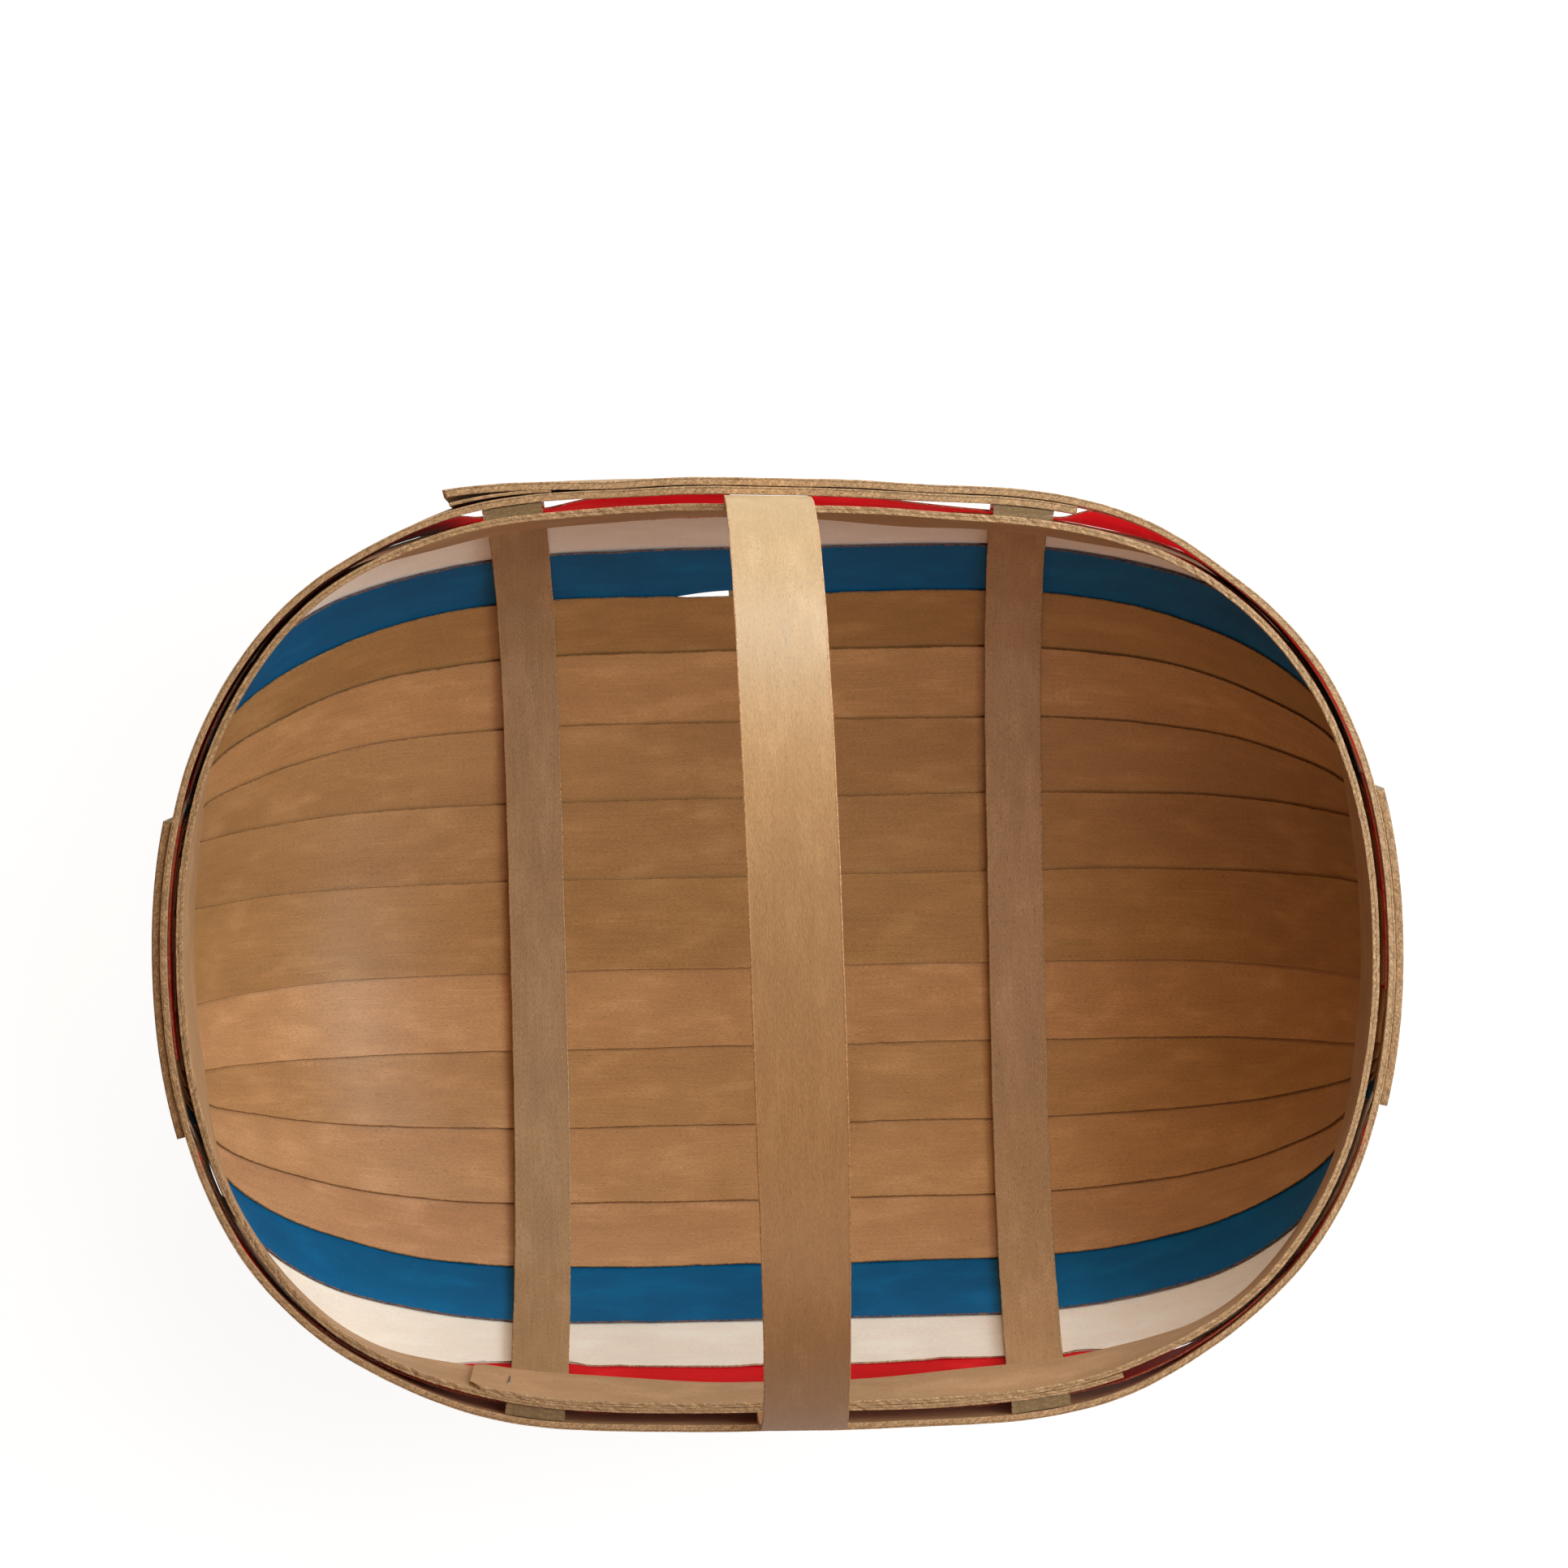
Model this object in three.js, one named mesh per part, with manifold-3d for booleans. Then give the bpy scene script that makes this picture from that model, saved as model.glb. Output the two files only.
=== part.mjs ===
// Trug basket: lengthwise slats held between two bent rim hoops, with cross ribs,
// a bent handle strip that runs on under the belly, end cleats and wire staples.
// Millimetres, +Z up, the origin on the ground under the middle of the basket.
// +X runs along the basket and +Y points to its back.

import * as THREE from 'three';
import * as BufferGeometryUtils from 'three/addons/utils/BufferGeometryUtils.js';
import Module from 'manifold-3d';

const wasm = await Module();
wasm.setup();

// Rim
const rimLength = 440;
const rimWidth = 339;
const hoopHeight = 25.5;
const hoopThickness = 2.5;
const wallFlare = 3.6 * Math.PI / 180;

// Bowl below the hoops
const bowlDepth = 92.5;
const groundFlat = 0.6;

// Slats
const slatThickness = 0.7;
const slatGap = 0.25;
const wallSlatGap = 0.2;
const centerSlatWidth = 35;
const brownReveal = 29.5;
const sideReveal = 27.7;
const whiteReveal = 24;
const slatLap = 6.4;
const slatRowShift = 2;
const slatTrim = 1.5;

// Cross strips
const ribWidth = 21;
const ribThickness = 2.3;
const ribSpanLength = 180;
const ribTrim = 1;
const handleWidth = 31;
const handleThickness = 2.4;
const handleRise = 160;
const handleSkew = 4;
const handleLean = 4;
const handleJointGap = 1;

// Laps of the two hoops, as places along the length of the basket
const outerLapTop = -116;
const outerLapUnder = 105;
const innerLapTop = -110;
const innerLapUnder = 120;
const lapLift = 3;
const lapLiftLength = 45;
const lapRampLength = 60;

// Cleats
const cleatLength = 109;
const cleatThickness = 3;
const cleatTrim = 1.5;

// Staples
const wireWidth = 0.9;
const crownLength = 9;
const legDepth = 1.6;
const pocketClearance = 0.25;
const crownClearance = 0.5;
const cleatStapleInset = 8;
const handleStapleSpacing = 16;
const lapStapleInset = 14;

// Clearances between neighbours
const fit = 0.25;
const innerHoopFit = 0.45;

// How far the hoops run beyond a cross strip before they close in on the slats, how long they
// take, and how far the thicker bundle of slat ends reaches from the middle of each end
const crossingMargin = 5;
const innerRampLength = 30;
const outerRampLength = 45;
const endBundleReach = 92;
const endBundleRampLength = 50;

// Distance between neighbouring stations along a hoop, and counts of stations and samples
const hoopStep = 7;
const slatSteps = 22;
const archSteps = 28;
const curveSamples = 4000;
const halvings = 48;

// Pure numbers of the curves
const endPower = 3.66;
const sidePower = 2.13;
const bowlPower = 3.5;
const floorPower = 1.15;
const endLapPower = 5;
const seamEndPower = 4.3;
const seamSidePower = 1.45;
const whiteEndPower = 4.5;
const whiteSidePower = 1.7;
const archPower = 2.3;
const layersUnderEnds = 2.1;
const endLapShares = [0, 0.4, 0.9, 1.1, 1.1, 1.1, 1.1, 1.1];
const hoopShare = 0.85;
const crossingShare = 0.06;
const wallShare = 0.9999;
const wallTurnShare = 0.8;

// Where the seams pass under the hoop and where they end at the rim, from the middle line
const seamAtHoop = [17.5, 40.5, 49.5, 57, 60.5, 67];
const seamAtRim = [17, 37, 42, 46, 49, 55, 62, 70];

// Sizes worked out from the driving sizes
const layerStep = slatThickness + slatGap;
const stackedSlats = slatThickness + (1 + slatLap / sideReveal) * layerStep + wallSlatGap;
const stripOffset = stackedSlats + 2 * fit;
const crossingStack = stripOffset + handleThickness + fit;
const endStack = slatThickness + layersUnderEnds * layerStep + wallSlatGap + fit;
const plainStack = stackedSlats + fit;
const rimHalfLength = rimLength / 2 - hoopThickness - endStack;
const rimHalfWidth = rimWidth / 2 - hoopThickness - crossingStack;
const hoopLean = hoopHeight * Math.sin(wallFlare);
const halfLength = rimHalfLength - hoopLean;
const halfWidth = rimHalfWidth - hoopLean;
const rimLevel = hoopHeight * Math.cos(wallFlare) + bowlDepth + stripOffset + handleThickness - groundFlat;
const hoopLevel = rimLevel - hoopHeight * Math.cos(wallFlare);
const zetaPower = bowlPower / sidePower;
const lapStep = hoopThickness + fit;

// Plan curve of the basket at the lower edge of the hoops, and its outward normal

function planAcross(x) {
  const share = Math.min(1, Math.abs(x) / halfLength);
  return halfWidth * (1 - share ** endPower) ** (1 / sidePower);
}

function planAlong(y) {
  const share = Math.min(1, Math.abs(y) / halfWidth);
  return halfLength * (1 - share ** sidePower) ** (1 / endPower);
}

function planNormal(x, y) {
  const nx = Math.sign(x) * endPower * Math.abs(x / halfLength) ** (endPower - 1) / halfLength;
  const ny = Math.sign(y) * sidePower * Math.abs(y / halfWidth) ** (sidePower - 1) / halfWidth;
  const size = Math.hypot(nx, ny) || 1;
  return [nx / size, ny / size];
}

function planLevel(x, y) {
  return Math.abs(x / halfLength) ** endPower + Math.abs(y / halfWidth) ** sidePower;
}

// How far a point lies out from the middle, as a share of the plan curve in its direction
function planShare(x, y) {
  let low = 0;
  let high = 2;
  for (let step = 0; step < halvings; step += 1) {
    const middle = (low + high) / 2;
    if (planLevel(x / middle, y / middle) > 1) low = middle;
    else high = middle;
  }
  return high;
}

// A point on the flared wall behind the hoops: up the wall from the plan curve, and out from it
function wallPoint(x, y, up, out) {
  const [nx, ny] = planNormal(x, y);
  const aside = up * Math.sin(wallFlare) + out * Math.cos(wallFlare);
  const level = hoopLevel + up * Math.cos(wallFlare) - out * Math.sin(wallFlare);
  return new THREE.Vector3(x + nx * aside, y + ny * aside, level);
}

// A point on the bowl below the hoops, and out from it
function bowlPoint(x, y, out) {
  const level = Math.min(planLevel(x, y), wallShare);
  const zeta = level ** zetaPower;
  const z = hoopLevel - bowlDepth * (1 - zeta) ** (1 / floorPower);
  const steepness = bowlDepth / floorPower * (1 - zeta) ** (1 / floorPower - 1);
  const slope = steepness * zetaPower * level ** (zetaPower - 1);
  const gx = slope * Math.sign(x) * endPower * Math.abs(x / halfLength) ** (endPower - 1) / halfLength;
  const gy = slope * Math.sign(y) * sidePower * Math.abs(y / halfWidth) ** (sidePower - 1) / halfWidth;
  const [nx, ny] = planNormal(x, y);
  const turn = THREE.MathUtils.smoothstep(level, wallTurnShare, 1);
  const flare = Math.cos(wallFlare);
  const upright = new THREE.Vector3(nx * flare, ny * flare, -Math.sin(wallFlare));
  const outwards = new THREE.Vector3(gx, gy, -1).normalize().lerp(upright, turn).normalize();
  return new THREE.Vector3(x, y, z).addScaledVector(outwards, out);
}

// The basket surface over a plan in which the wall behind the hoops is laid flat outwards
function basketPoint(x, y, out) {
  const share = planShare(x, y);
  if (share < wallShare) return bowlPoint(x, y, out);
  const footX = x / share;
  const footY = y / share;
  const up = Math.max(0, Math.hypot(x, y) - Math.hypot(footX, footY));
  return wallPoint(footX, footY, up, out);
}

// The flat plan point that stands for a place up the wall above a point of the plan curve
function laidFlat(footX, footY, up) {
  const share = 1 + up / Math.hypot(footX, footY);
  return [footX * share, footY * share];
}

// Seams between slats

// Distances of the seams from the middle line across the middle of the basket,
// measured along the curve of the bowl
function seamsAtMiddle() {
  const reveals = [brownReveal, brownReveal, brownReveal, sideReveal, sideReveal, whiteReveal];
  const seams = [centerSlatWidth / 2];
  let y = seams[0];
  let last = bowlPoint(0, y, 0);
  for (const reveal of reveals) {
    let run = 0;
    while (run < reveal && y < halfWidth) {
      y += halfWidth / curveSamples;
      const next = bowlPoint(0, Math.min(y, halfWidth), 0);
      run += last.distanceTo(next);
      last = next;
    }
    seams.push(y);
  }
  return seams;
}

const seamAtMiddle = seamsAtMiddle();
const whiteSeam = seamAtMiddle.length - 1;
const redEdge = whiteSeam + 1;
const wallTop = hoopHeight - slatTrim;

// The row of slats sits a little to the back, except at the rim
function rowShift(seam) {
  if (seam === redEdge) return 0;
  return seam === whiteSeam ? slatRowShift / 2 : slatRowShift;
}

// Distances of a seam from the middle line of one side: across the middle of the basket,
// where it passes under the hoop, and at its end in the flat plan
function seamPlaces(side, seam) {
  const shift = side * rowShift(seam);
  const rim = seamAtRim[seam] + shift;
  const end = laidFlat(planAlong(rim), rim, wallTop);
  if (seam === redEdge) return { end, rim };
  if (seam === whiteSeam) return { middle: seamAtMiddle[seam] + shift, end };
  const under = seamAtHoop[seam] + shift;
  return { middle: seamAtMiddle[seam] + shift, under, turn: planAlong(under), end };
}

const seamTable = new Map([-1, 1].map((side) => [
  side,
  seamAtRim.map((_, seam) => seamPlaces(side, seam)),
]));

// Distance of a seam from the middle line at a place along the flat plan
function seamAcross(side, seam, x) {
  const { middle, under, turn, end: [endX, endY] } = seamTable.get(side)[seam];
  const along = Math.min(Math.abs(x), endX);
  if (seam === whiteSeam) {
    return endY + (middle - endY) * (1 - (along / endX) ** whiteEndPower) ** (1 / whiteSidePower);
  }
  if (along <= turn) {
    return under + (middle - under) * (1 - (along / turn) ** seamEndPower) ** (1 / seamSidePower);
  }
  return under + (endY - under) * (along - turn) / (endX - turn);
}

// A point of a seam on one side; along runs from -1 to 1 from end to end, and a seam that
// runs down into the bowl passes under the hoop at hoopShare of it.
// Seam -1 is the first seam of the other side.
function seamPoint(side, seam, along) {
  if (seam < 0) return seamPoint(-side, 0, along);
  const { turn, end, rim } = seamTable.get(side)[seam];
  const quarter = Math.PI / 2;
  if (seam === redEdge) {
    const x = planAlong(rim) * Math.sin(along * quarter);
    return laidFlat(x, side * planAcross(x), wallTop);
  }
  let x = end[0] * Math.sin(along * quarter);
  if (seam !== whiteSeam) {
    const size = Math.abs(along);
    const inBowl = turn * Math.sin(Math.min(1, size / hoopShare) * quarter);
    const onWall = (end[0] - turn) * Math.max(0, (size - hoopShare) / (1 - hoopShare));
    x = Math.sign(along) * (inBowl + onWall);
  }
  return [x, side * seamAcross(side, seam, x)];
}

// A point between seams, where across counts seams from the middle slat outwards
function betweenSeams(side, across, along) {
  const below = Math.floor(across);
  const [lowX, lowY] = seamPoint(side, below, along);
  if (across === below) return [lowX, lowY];
  const [highX, highY] = seamPoint(side, below + 1, along);
  const share = across - below;
  return [lowX + (highX - lowX) * share, lowY + (highY - lowY) * share];
}

// Where a line between two seams crosses the lower edge of the hoops, kept off both seams
function hoopCrossing(side, from, to, along) {
  let low = 0;
  let high = 1;
  for (let step = 0; step < halvings; step += 1) {
    const middle = (low + high) / 2;
    const [x, y] = betweenSeams(side, from + (to - from) * middle, along);
    if (planShare(x, y) < 1) low = middle;
    else high = middle;
  }
  return from + (to - from) * THREE.MathUtils.clamp(high, crossingShare, 1 - crossingShare);
}

// How far out a slat lies where it passes under the slats nearer the middle
function layerOffset(slat, across) {
  let layers = 0;
  for (let inner = 0; inner < slat; inner += 1) {
    layers += THREE.MathUtils.clamp(inner + 1 - across, 0, 1);
  }
  const extra = slat >= whiteSeam ? wallSlatGap : 0;
  return layers * layerStep + extra;
}

// Solids

function solidFrom(positions, indices) {
  const geometry = new THREE.BufferGeometry();
  geometry.setAttribute('position', new THREE.Float32BufferAttribute(positions, 3));
  geometry.setIndex(indices);
  return geometry;
}

function signedVolume(positions, indices) {
  const a = new THREE.Vector3();
  const b = new THREE.Vector3();
  const c = new THREE.Vector3();
  let volume = 0;
  for (let i = 0; i < indices.length; i += 3) {
    a.fromArray(positions, indices[i] * 3);
    b.fromArray(positions, indices[i + 1] * 3);
    c.fromArray(positions, indices[i + 2] * 3);
    volume += a.dot(b.cross(c));
  }
  return volume;
}

// A closed sheet between two grids of points of the same size, inner[row][column]
function sheetSolid(inner, outer) {
  const rows = inner.length;
  const columns = inner[0].length;
  const positions = [];
  for (const grid of [inner, outer]) {
    for (const row of grid) for (const point of row) positions.push(point.x, point.y, point.z);
  }
  const near = (row, column) => row * columns + column;
  const far = (row, column) => rows * columns + near(row, column);
  const indices = [];
  const quad = (a, b, c, d) => indices.push(a, b, c, a, c, d);
  for (let row = 0; row + 1 < rows; row += 1) {
    for (let column = 0; column + 1 < columns; column += 1) {
      quad(near(row, column), near(row, column + 1), near(row + 1, column + 1), near(row + 1, column));
      indices.push(far(row, column), far(row + 1, column + 1), far(row, column + 1));
      indices.push(far(row, column), far(row + 1, column), far(row + 1, column + 1));
    }
    const last = columns - 1;
    quad(near(row, 0), near(row + 1, 0), far(row + 1, 0), far(row, 0));
    quad(near(row + 1, last), near(row, last), far(row, last), far(row + 1, last));
  }
  const end = rows - 1;
  for (let column = 0; column + 1 < columns; column += 1) {
    quad(near(0, column + 1), near(0, column), far(0, column), far(0, column + 1));
    quad(near(end, column), near(end, column + 1), far(end, column + 1), far(end, column));
  }
  if (signedVolume(positions, indices) < 0) {
    for (let i = 0; i < indices.length; i += 3) {
      [indices[i + 1], indices[i + 2]] = [indices[i + 2], indices[i + 1]];
    }
  }
  return solidFrom(positions, indices);
}

function toManifold(geometry) {
  const bare = geometry.clone();
  bare.deleteAttribute('normal');
  bare.deleteAttribute('uv');
  const merged = BufferGeometryUtils.mergeVertices(bare);
  return new wasm.Manifold(new wasm.Mesh({
    numProp: 3,
    vertProperties: new Float32Array(merged.attributes.position.array),
    triVerts: new Uint32Array(merged.index.array),
  }));
}

function fromManifold(manifold) {
  const mesh = manifold.getMesh();
  return solidFrom(Array.from(mesh.vertProperties), Array.from(mesh.triVerts));
}

function cutPockets(geometry, pockets) {
  let solid = toManifold(geometry);
  for (const pocket of pockets) solid = solid.subtract(toManifold(pocket));
  return fromManifold(solid);
}

// Slats

// Places across a slat, from its hidden edge to its visible one. The two slats next to the
// rim also bend where they pass behind the hoops.
function slatColumns(side, slat, reach, along) {
  if (slat === 0) return [-1, -0.5, 0];
  const hidden = slat - 1 - reach;
  const columns = [hidden, slat - 1, slat];
  if (slat >= whiteSeam) columns.splice(2, 0, hoopCrossing(side, slat - 1, slat, along));
  if (slat === redEdge) columns.splice(1, 0, hoopCrossing(side, hidden, slat - 1, along));
  return columns;
}

function slatGeometry(side, slat) {
  const inner = [];
  const outer = [];
  for (let step = -slatSteps; step <= slatSteps; step += 1) {
    const along = step / slatSteps;
    const lap = slat === 1 ? slatLap / centerSlatWidth : slatLap / brownReveal;
    const grow = Math.abs(along) ** endLapPower;
    const reach = lap + (endLapShares[slat] - lap) * grow;
    const columns = slatColumns(side, slat, reach, along);
    const innerRow = [];
    const outerRow = [];
    for (const across of columns) {
      const [x, y] = betweenSeams(side, across, along);
      const out = layerOffset(slat, across);
      innerRow.push(basketPoint(x, y, out));
      outerRow.push(basketPoint(x, y, out + slatThickness));
    }
    inner.push(innerRow);
    outer.push(outerRow);
  }
  return sheetSolid(inner, outer);
}

// Strips that cross the basket from rim to rim, on its inside or its outside

// Points of one half of a crossing, from the middle line to the rim, at one place along
function crossingHalf(side, x, out, topTrim) {
  const points = [];
  for (let seam = 0; seam <= whiteSeam; seam += 1) {
    points.push(bowlPoint(x, side * seamAcross(side, seam, x), out));
  }
  const footY = side * planAcross(x);
  points.push(wallPoint(x, footY, 0, out));
  points.push(wallPoint(x, footY, hoopHeight - topTrim, out));
  return points;
}

// The same for a strip that lies outside, with a point between neighbouring seams.
// centerAt gives where the middle of the strip lies at a distance across the basket.
function outsideHalf(side, aside, out, centerAt) {
  const rimX = aside + centerAt(side * halfWidth);
  const ys = [];
  for (let seam = 0; seam <= whiteSeam; seam += 1) {
    const here = seamAcross(side, seam, rimX);
    const next = seam === whiteSeam ? planAcross(rimX) : seamAcross(side, seam + 1, rimX);
    ys.push(side * here, side * (here + next) / 2);
  }
  const points = ys.map((y) => bowlPoint(aside + centerAt(y), y, out));
  points.push(wallPoint(rimX, side * planAcross(rimX), 0, out));
  return points;
}

function onGround(point) {
  point.z = Math.max(point.z, 0);
  return point;
}

function stripEdges(width) {
  return [-width / 2, width / 2];
}

function transpose(lines) {
  return lines[0].map((_, row) => lines.map((line) => line[row]));
}

function innerRibGeometry(center) {
  const grids = [-fit - ribThickness, -fit].map((out) => {
    const lines = stripEdges(ribWidth).map((aside) => {
      const front = crossingHalf(-1, center + aside, out, ribTrim).reverse();
      return front.concat(crossingHalf(1, center + aside, out, ribTrim));
    });
    return transpose(lines);
  });
  return sheetSolid(grids[0], grids[1]);
}

function outerRibGeometry(center) {
  const grids = [stripOffset, stripOffset + ribThickness].map((out) => {
    const lines = stripEdges(ribWidth).map((aside) => {
      const x = center + aside;
      const halves = [-1, 1].map((side) => {
        const top = wallPoint(x, side * planAcross(x), hoopHeight - ribTrim, out);
        return outsideHalf(side, aside, out, () => center).concat([top]);
      });
      return halves[0].reverse().concat(halves[1]).map(onGround);
    });
    return transpose(lines);
  });
  return sheetSolid(grids[0], grids[1]);
}

// Handle: a strip that starts under the middle, runs up one side, over the arch and back

// Where the middle of the handle strip lies: its front foot stands a little towards +X
function handleCenter(y) {
  return handleSkew * (1 - y / halfWidth) / 2;
}

function archPoint(share, out, aside) {
  const angle = share * Math.PI;
  const foot = wallPoint(aside, planAcross(aside), hoopHeight, stripOffset + out);
  const y = foot.y * Math.sign(Math.cos(angle)) * Math.abs(Math.cos(angle)) ** (2 / archPower);
  const rise = Math.abs(Math.sin(angle)) ** (2 / archPower);
  const height = handleRise - handleThickness + out;
  return new THREE.Vector3(aside + handleCenter(y) + handleLean * rise, y, foot.z + height * rise);
}

function handleGeometry() {
  const grids = [0, handleThickness].map((out) => {
    const lines = stripEdges(handleWidth).map((aside) => {
      const offset = stripOffset + out;
      const halves = [1, -1].map((side) => {
        const startY = side * handleJointGap / 2;
        const start = bowlPoint(aside + handleCenter(startY), startY, offset);
        return [start].concat(outsideHalf(side, aside, offset, handleCenter)).map(onGround);
      });
      const arch = [];
      for (let step = 0; step <= archSteps; step += 1) arch.push(archPoint(step / archSteps, out, aside));
      return halves[0].concat(arch, halves[1].reverse());
    });
    return transpose(lines);
  });
  return sheetSolid(grids[0], grids[1]);
}

// Hoops

// A bump that is 1 within a reach and falls to 0 over a ramp
function bump(distance, reach, ramp) {
  return 1 - THREE.MathUtils.smoothstep(distance, reach, reach + ramp);
}

// 1 where the ribs hold the hoops off the slats, falling to 0 on both sides of them
function ribBump(x) {
  const beyond = Math.abs(x) - ribSpanLength / 2;
  const ramp = beyond < 0 ? innerRampLength : outerRampLength;
  return bump(Math.abs(beyond), ribWidth / 2 + crossingMargin, ramp);
}

// The same where the handle passes between the slats and the outer hoop
function handleBump(x, y) {
  const beside = Math.abs(x - handleCenter(Math.sign(y) * halfWidth));
  return bump(beside, handleWidth / 2 + crossingMargin, innerRampLength);
}

// Space between the inner faces of the slats and the outer hoop, at a point of the plan curve
function outerStack(x, y) {
  const crossing = (crossingStack - plainStack) * Math.max(ribBump(x), handleBump(x, y));
  const bundle = (endStack - plainStack) * bump(Math.abs(y), endBundleReach, endBundleRampLength);
  return plainStack + Math.max(crossing, bundle);
}

// Space between the inner faces of the slats and the inner hoop
function innerStack(x) {
  return innerHoopFit + (ribThickness + fit) * ribBump(x);
}

// Points of the plan curve at even steps, from one place on a side round to another on the
// same side. They start towards -X and go once round before they reach the end.
function roundPlan(side, startX, endX) {
  const loop = [];
  for (let i = 0; i <= curveSamples; i += 1) {
    const angle = i / curveSamples * Math.PI * 2;
    const cosine = Math.cos(angle);
    const sine = Math.sin(angle);
    const x = -Math.sign(sine) * halfLength * Math.abs(sine) ** (2 / endPower);
    const y = side * Math.sign(cosine) * halfWidth * Math.abs(cosine) ** (2 / sidePower);
    loop.push([x, y]);
  }
  const turns = loop.concat(loop.slice(1), loop.slice(1));
  const runs = [0];
  for (let i = 1; i < turns.length; i += 1) {
    const [x0, y0] = turns[i - 1];
    const [x1, y1] = turns[i];
    runs.push(runs[i - 1] + Math.hypot(x1 - x0, y1 - y0));
  }
  const round = runs[curveSamples];
  const runAt = (x, turn) => {
    const signed = -Math.sign(x) * curveRun(loop, Math.abs(x));
    return round * turn + signed;
  };
  const start = runAt(startX, 1);
  const end = runAt(endX, 2);
  const count = Math.ceil((end - start) / hoopStep);
  const stations = [];
  let index = 0;
  for (let k = 0; k <= count; k += 1) {
    const run = start + (end - start) * k / count;
    while (runs[index + 1] < run) index += 1;
    const share = (run - runs[index]) / (runs[index + 1] - runs[index]);
    const [x0, y0] = turns[index];
    const [x1, y1] = turns[index + 1];
    const x = x0 + (x1 - x0) * share;
    const y = y0 + (y1 - y0) * share;
    stations.push({ x, y, run: run - start, rest: end - run, round });
  }
  return stations;
}

// Length of the plan curve from the middle of a side to a place along
function curveRun(loop, x) {
  let run = 0;
  for (let i = 1; i < loop.length; i += 1) {
    const [x0, y0] = loop[i - 1];
    const [x1, y1] = loop[i];
    const piece = Math.hypot(x1 - x0, y1 - y0);
    if (Math.abs(x1) >= x) return run + piece * (x - Math.abs(x0)) / (Math.abs(x1) - Math.abs(x0));
    run += piece;
  }
  return run;
}

// How far the strip of a hoop has climbed over its own start, and then lifts at its free end
function lapClimb(station, freeLift) {
  const start = station.round - lapRampLength;
  const climb = THREE.MathUtils.smoothstep(station.run, start, station.round - hoopStep);
  const lift = 1 - THREE.MathUtils.smoothstep(station.rest, 0, lapLiftLength);
  return climb * lapStep + lift * freeLift;
}

function outerHoopOffset(station) {
  return outerStack(station.x, station.y) + lapClimb(station, lapLift);
}

function innerHoopOffset(station) {
  return -innerStack(station.x) - hoopThickness - lapClimb(station, 0);
}

function hoopGeometry(stations, offsetOf) {
  const grids = [0, hoopThickness].map((out) => stations.map((station) => {
    const offset = offsetOf(station) + out;
    return [0, hoopHeight].map((up) => wallPoint(station.x, station.y, up, offset));
  }));
  return sheetSolid(grids[0], grids[1]);
}

// Cleats on the outside of the outer hoop, one at each end

function cleatGeometry(end) {
  const steps = Math.ceil(cleatLength / hoopStep);
  const grids = [0, cleatThickness].map((out) => {
    const rows = [];
    for (let step = 0; step <= steps; step += 1) {
      const y = (step / steps - 0.5) * cleatLength;
      const x = end * planAlong(y);
      const offset = outerStack(x, y) + hoopThickness + fit + out;
      rows.push([cleatTrim, hoopHeight - cleatTrim].map((up) => wallPoint(x, y, up, offset)));
    }
    return rows;
  });
  return sheetSolid(grids[0], grids[1]);
}

// Staples: a crown and two legs, the legs in pockets of the strip below the crown

function stapleOutline() {
  const half = crownLength / 2;
  const shape = new THREE.Shape();
  shape.moveTo(-half, crownClearance + wireWidth);
  shape.lineTo(-half, -legDepth);
  shape.lineTo(-half + wireWidth, -legDepth);
  shape.lineTo(-half + wireWidth, crownClearance);
  shape.lineTo(half - wireWidth, crownClearance);
  shape.lineTo(half - wireWidth, -legDepth);
  shape.lineTo(half, -legDepth);
  shape.lineTo(half, crownClearance + wireWidth);
  shape.closePath();
  return shape;
}

// A frame on a surface: X along the crown, Y outwards
function stapleFrame(at, along, outward) {
  const y = outward.clone().normalize();
  const x = along.clone().addScaledVector(y, -along.dot(y)).normalize();
  const z = x.clone().cross(y);
  return new THREE.Matrix4().makeBasis(x, y, z).setPosition(at);
}

function stapleGeometry(frame) {
  const wire = new THREE.ExtrudeGeometry(stapleOutline(), { depth: wireWidth, bevelEnabled: false });
  wire.translate(0, 0, -wireWidth / 2);
  return wire.applyMatrix4(frame);
}

function staplePockets(frame) {
  const side = wireWidth + 2 * pocketClearance;
  const depth = legDepth + pocketClearance;
  return [-1, 1].map((leg) => {
    const box = new THREE.BoxGeometry(side, depth + fit, side);
    box.translate(leg * (crownLength - wireWidth) / 2, (fit - depth) / 2, 0);
    return box.applyMatrix4(frame);
  });
}

// An upright staple on the outside of the wall, at a point of the plan curve, half way up
function wallStaple(x, y, offset) {
  const at = wallPoint(x, y, hoopHeight / 2, offset);
  const outward = wallPoint(x, y, hoopHeight / 2, offset + fit).sub(at);
  const upward = wallPoint(x, y, hoopHeight, offset).sub(at);
  return stapleFrame(at, upward, outward);
}

// A staple on a hoop, at one of its stations, square to the face that it is driven into
function hoopStaple(stations, index, faceOf, facing, upright) {
  const [before, at, after] = [index - 1, index, index + 1].map((place) => {
    const { x, y } = stations[place];
    return wallPoint(x, y, hoopHeight / 2, faceOf(stations[place]));
  });
  const { x, y } = stations[index];
  const upward = wallPoint(x, y, hoopHeight, faceOf(stations[index])).sub(at);
  const forward = after.sub(before);
  const outward = forward.clone().cross(upward);
  const away = wallPoint(x, y, hoopHeight / 2, faceOf(stations[index]) + facing).sub(at);
  if (outward.dot(away) < 0) outward.negate();
  return stapleFrame(at, upright ? upward : forward, outward);
}

// Materials

function paint(colour, roughness, metalness) {
  return new THREE.MeshStandardMaterial({ color: new THREE.Color(colour), roughness, metalness });
}

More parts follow.
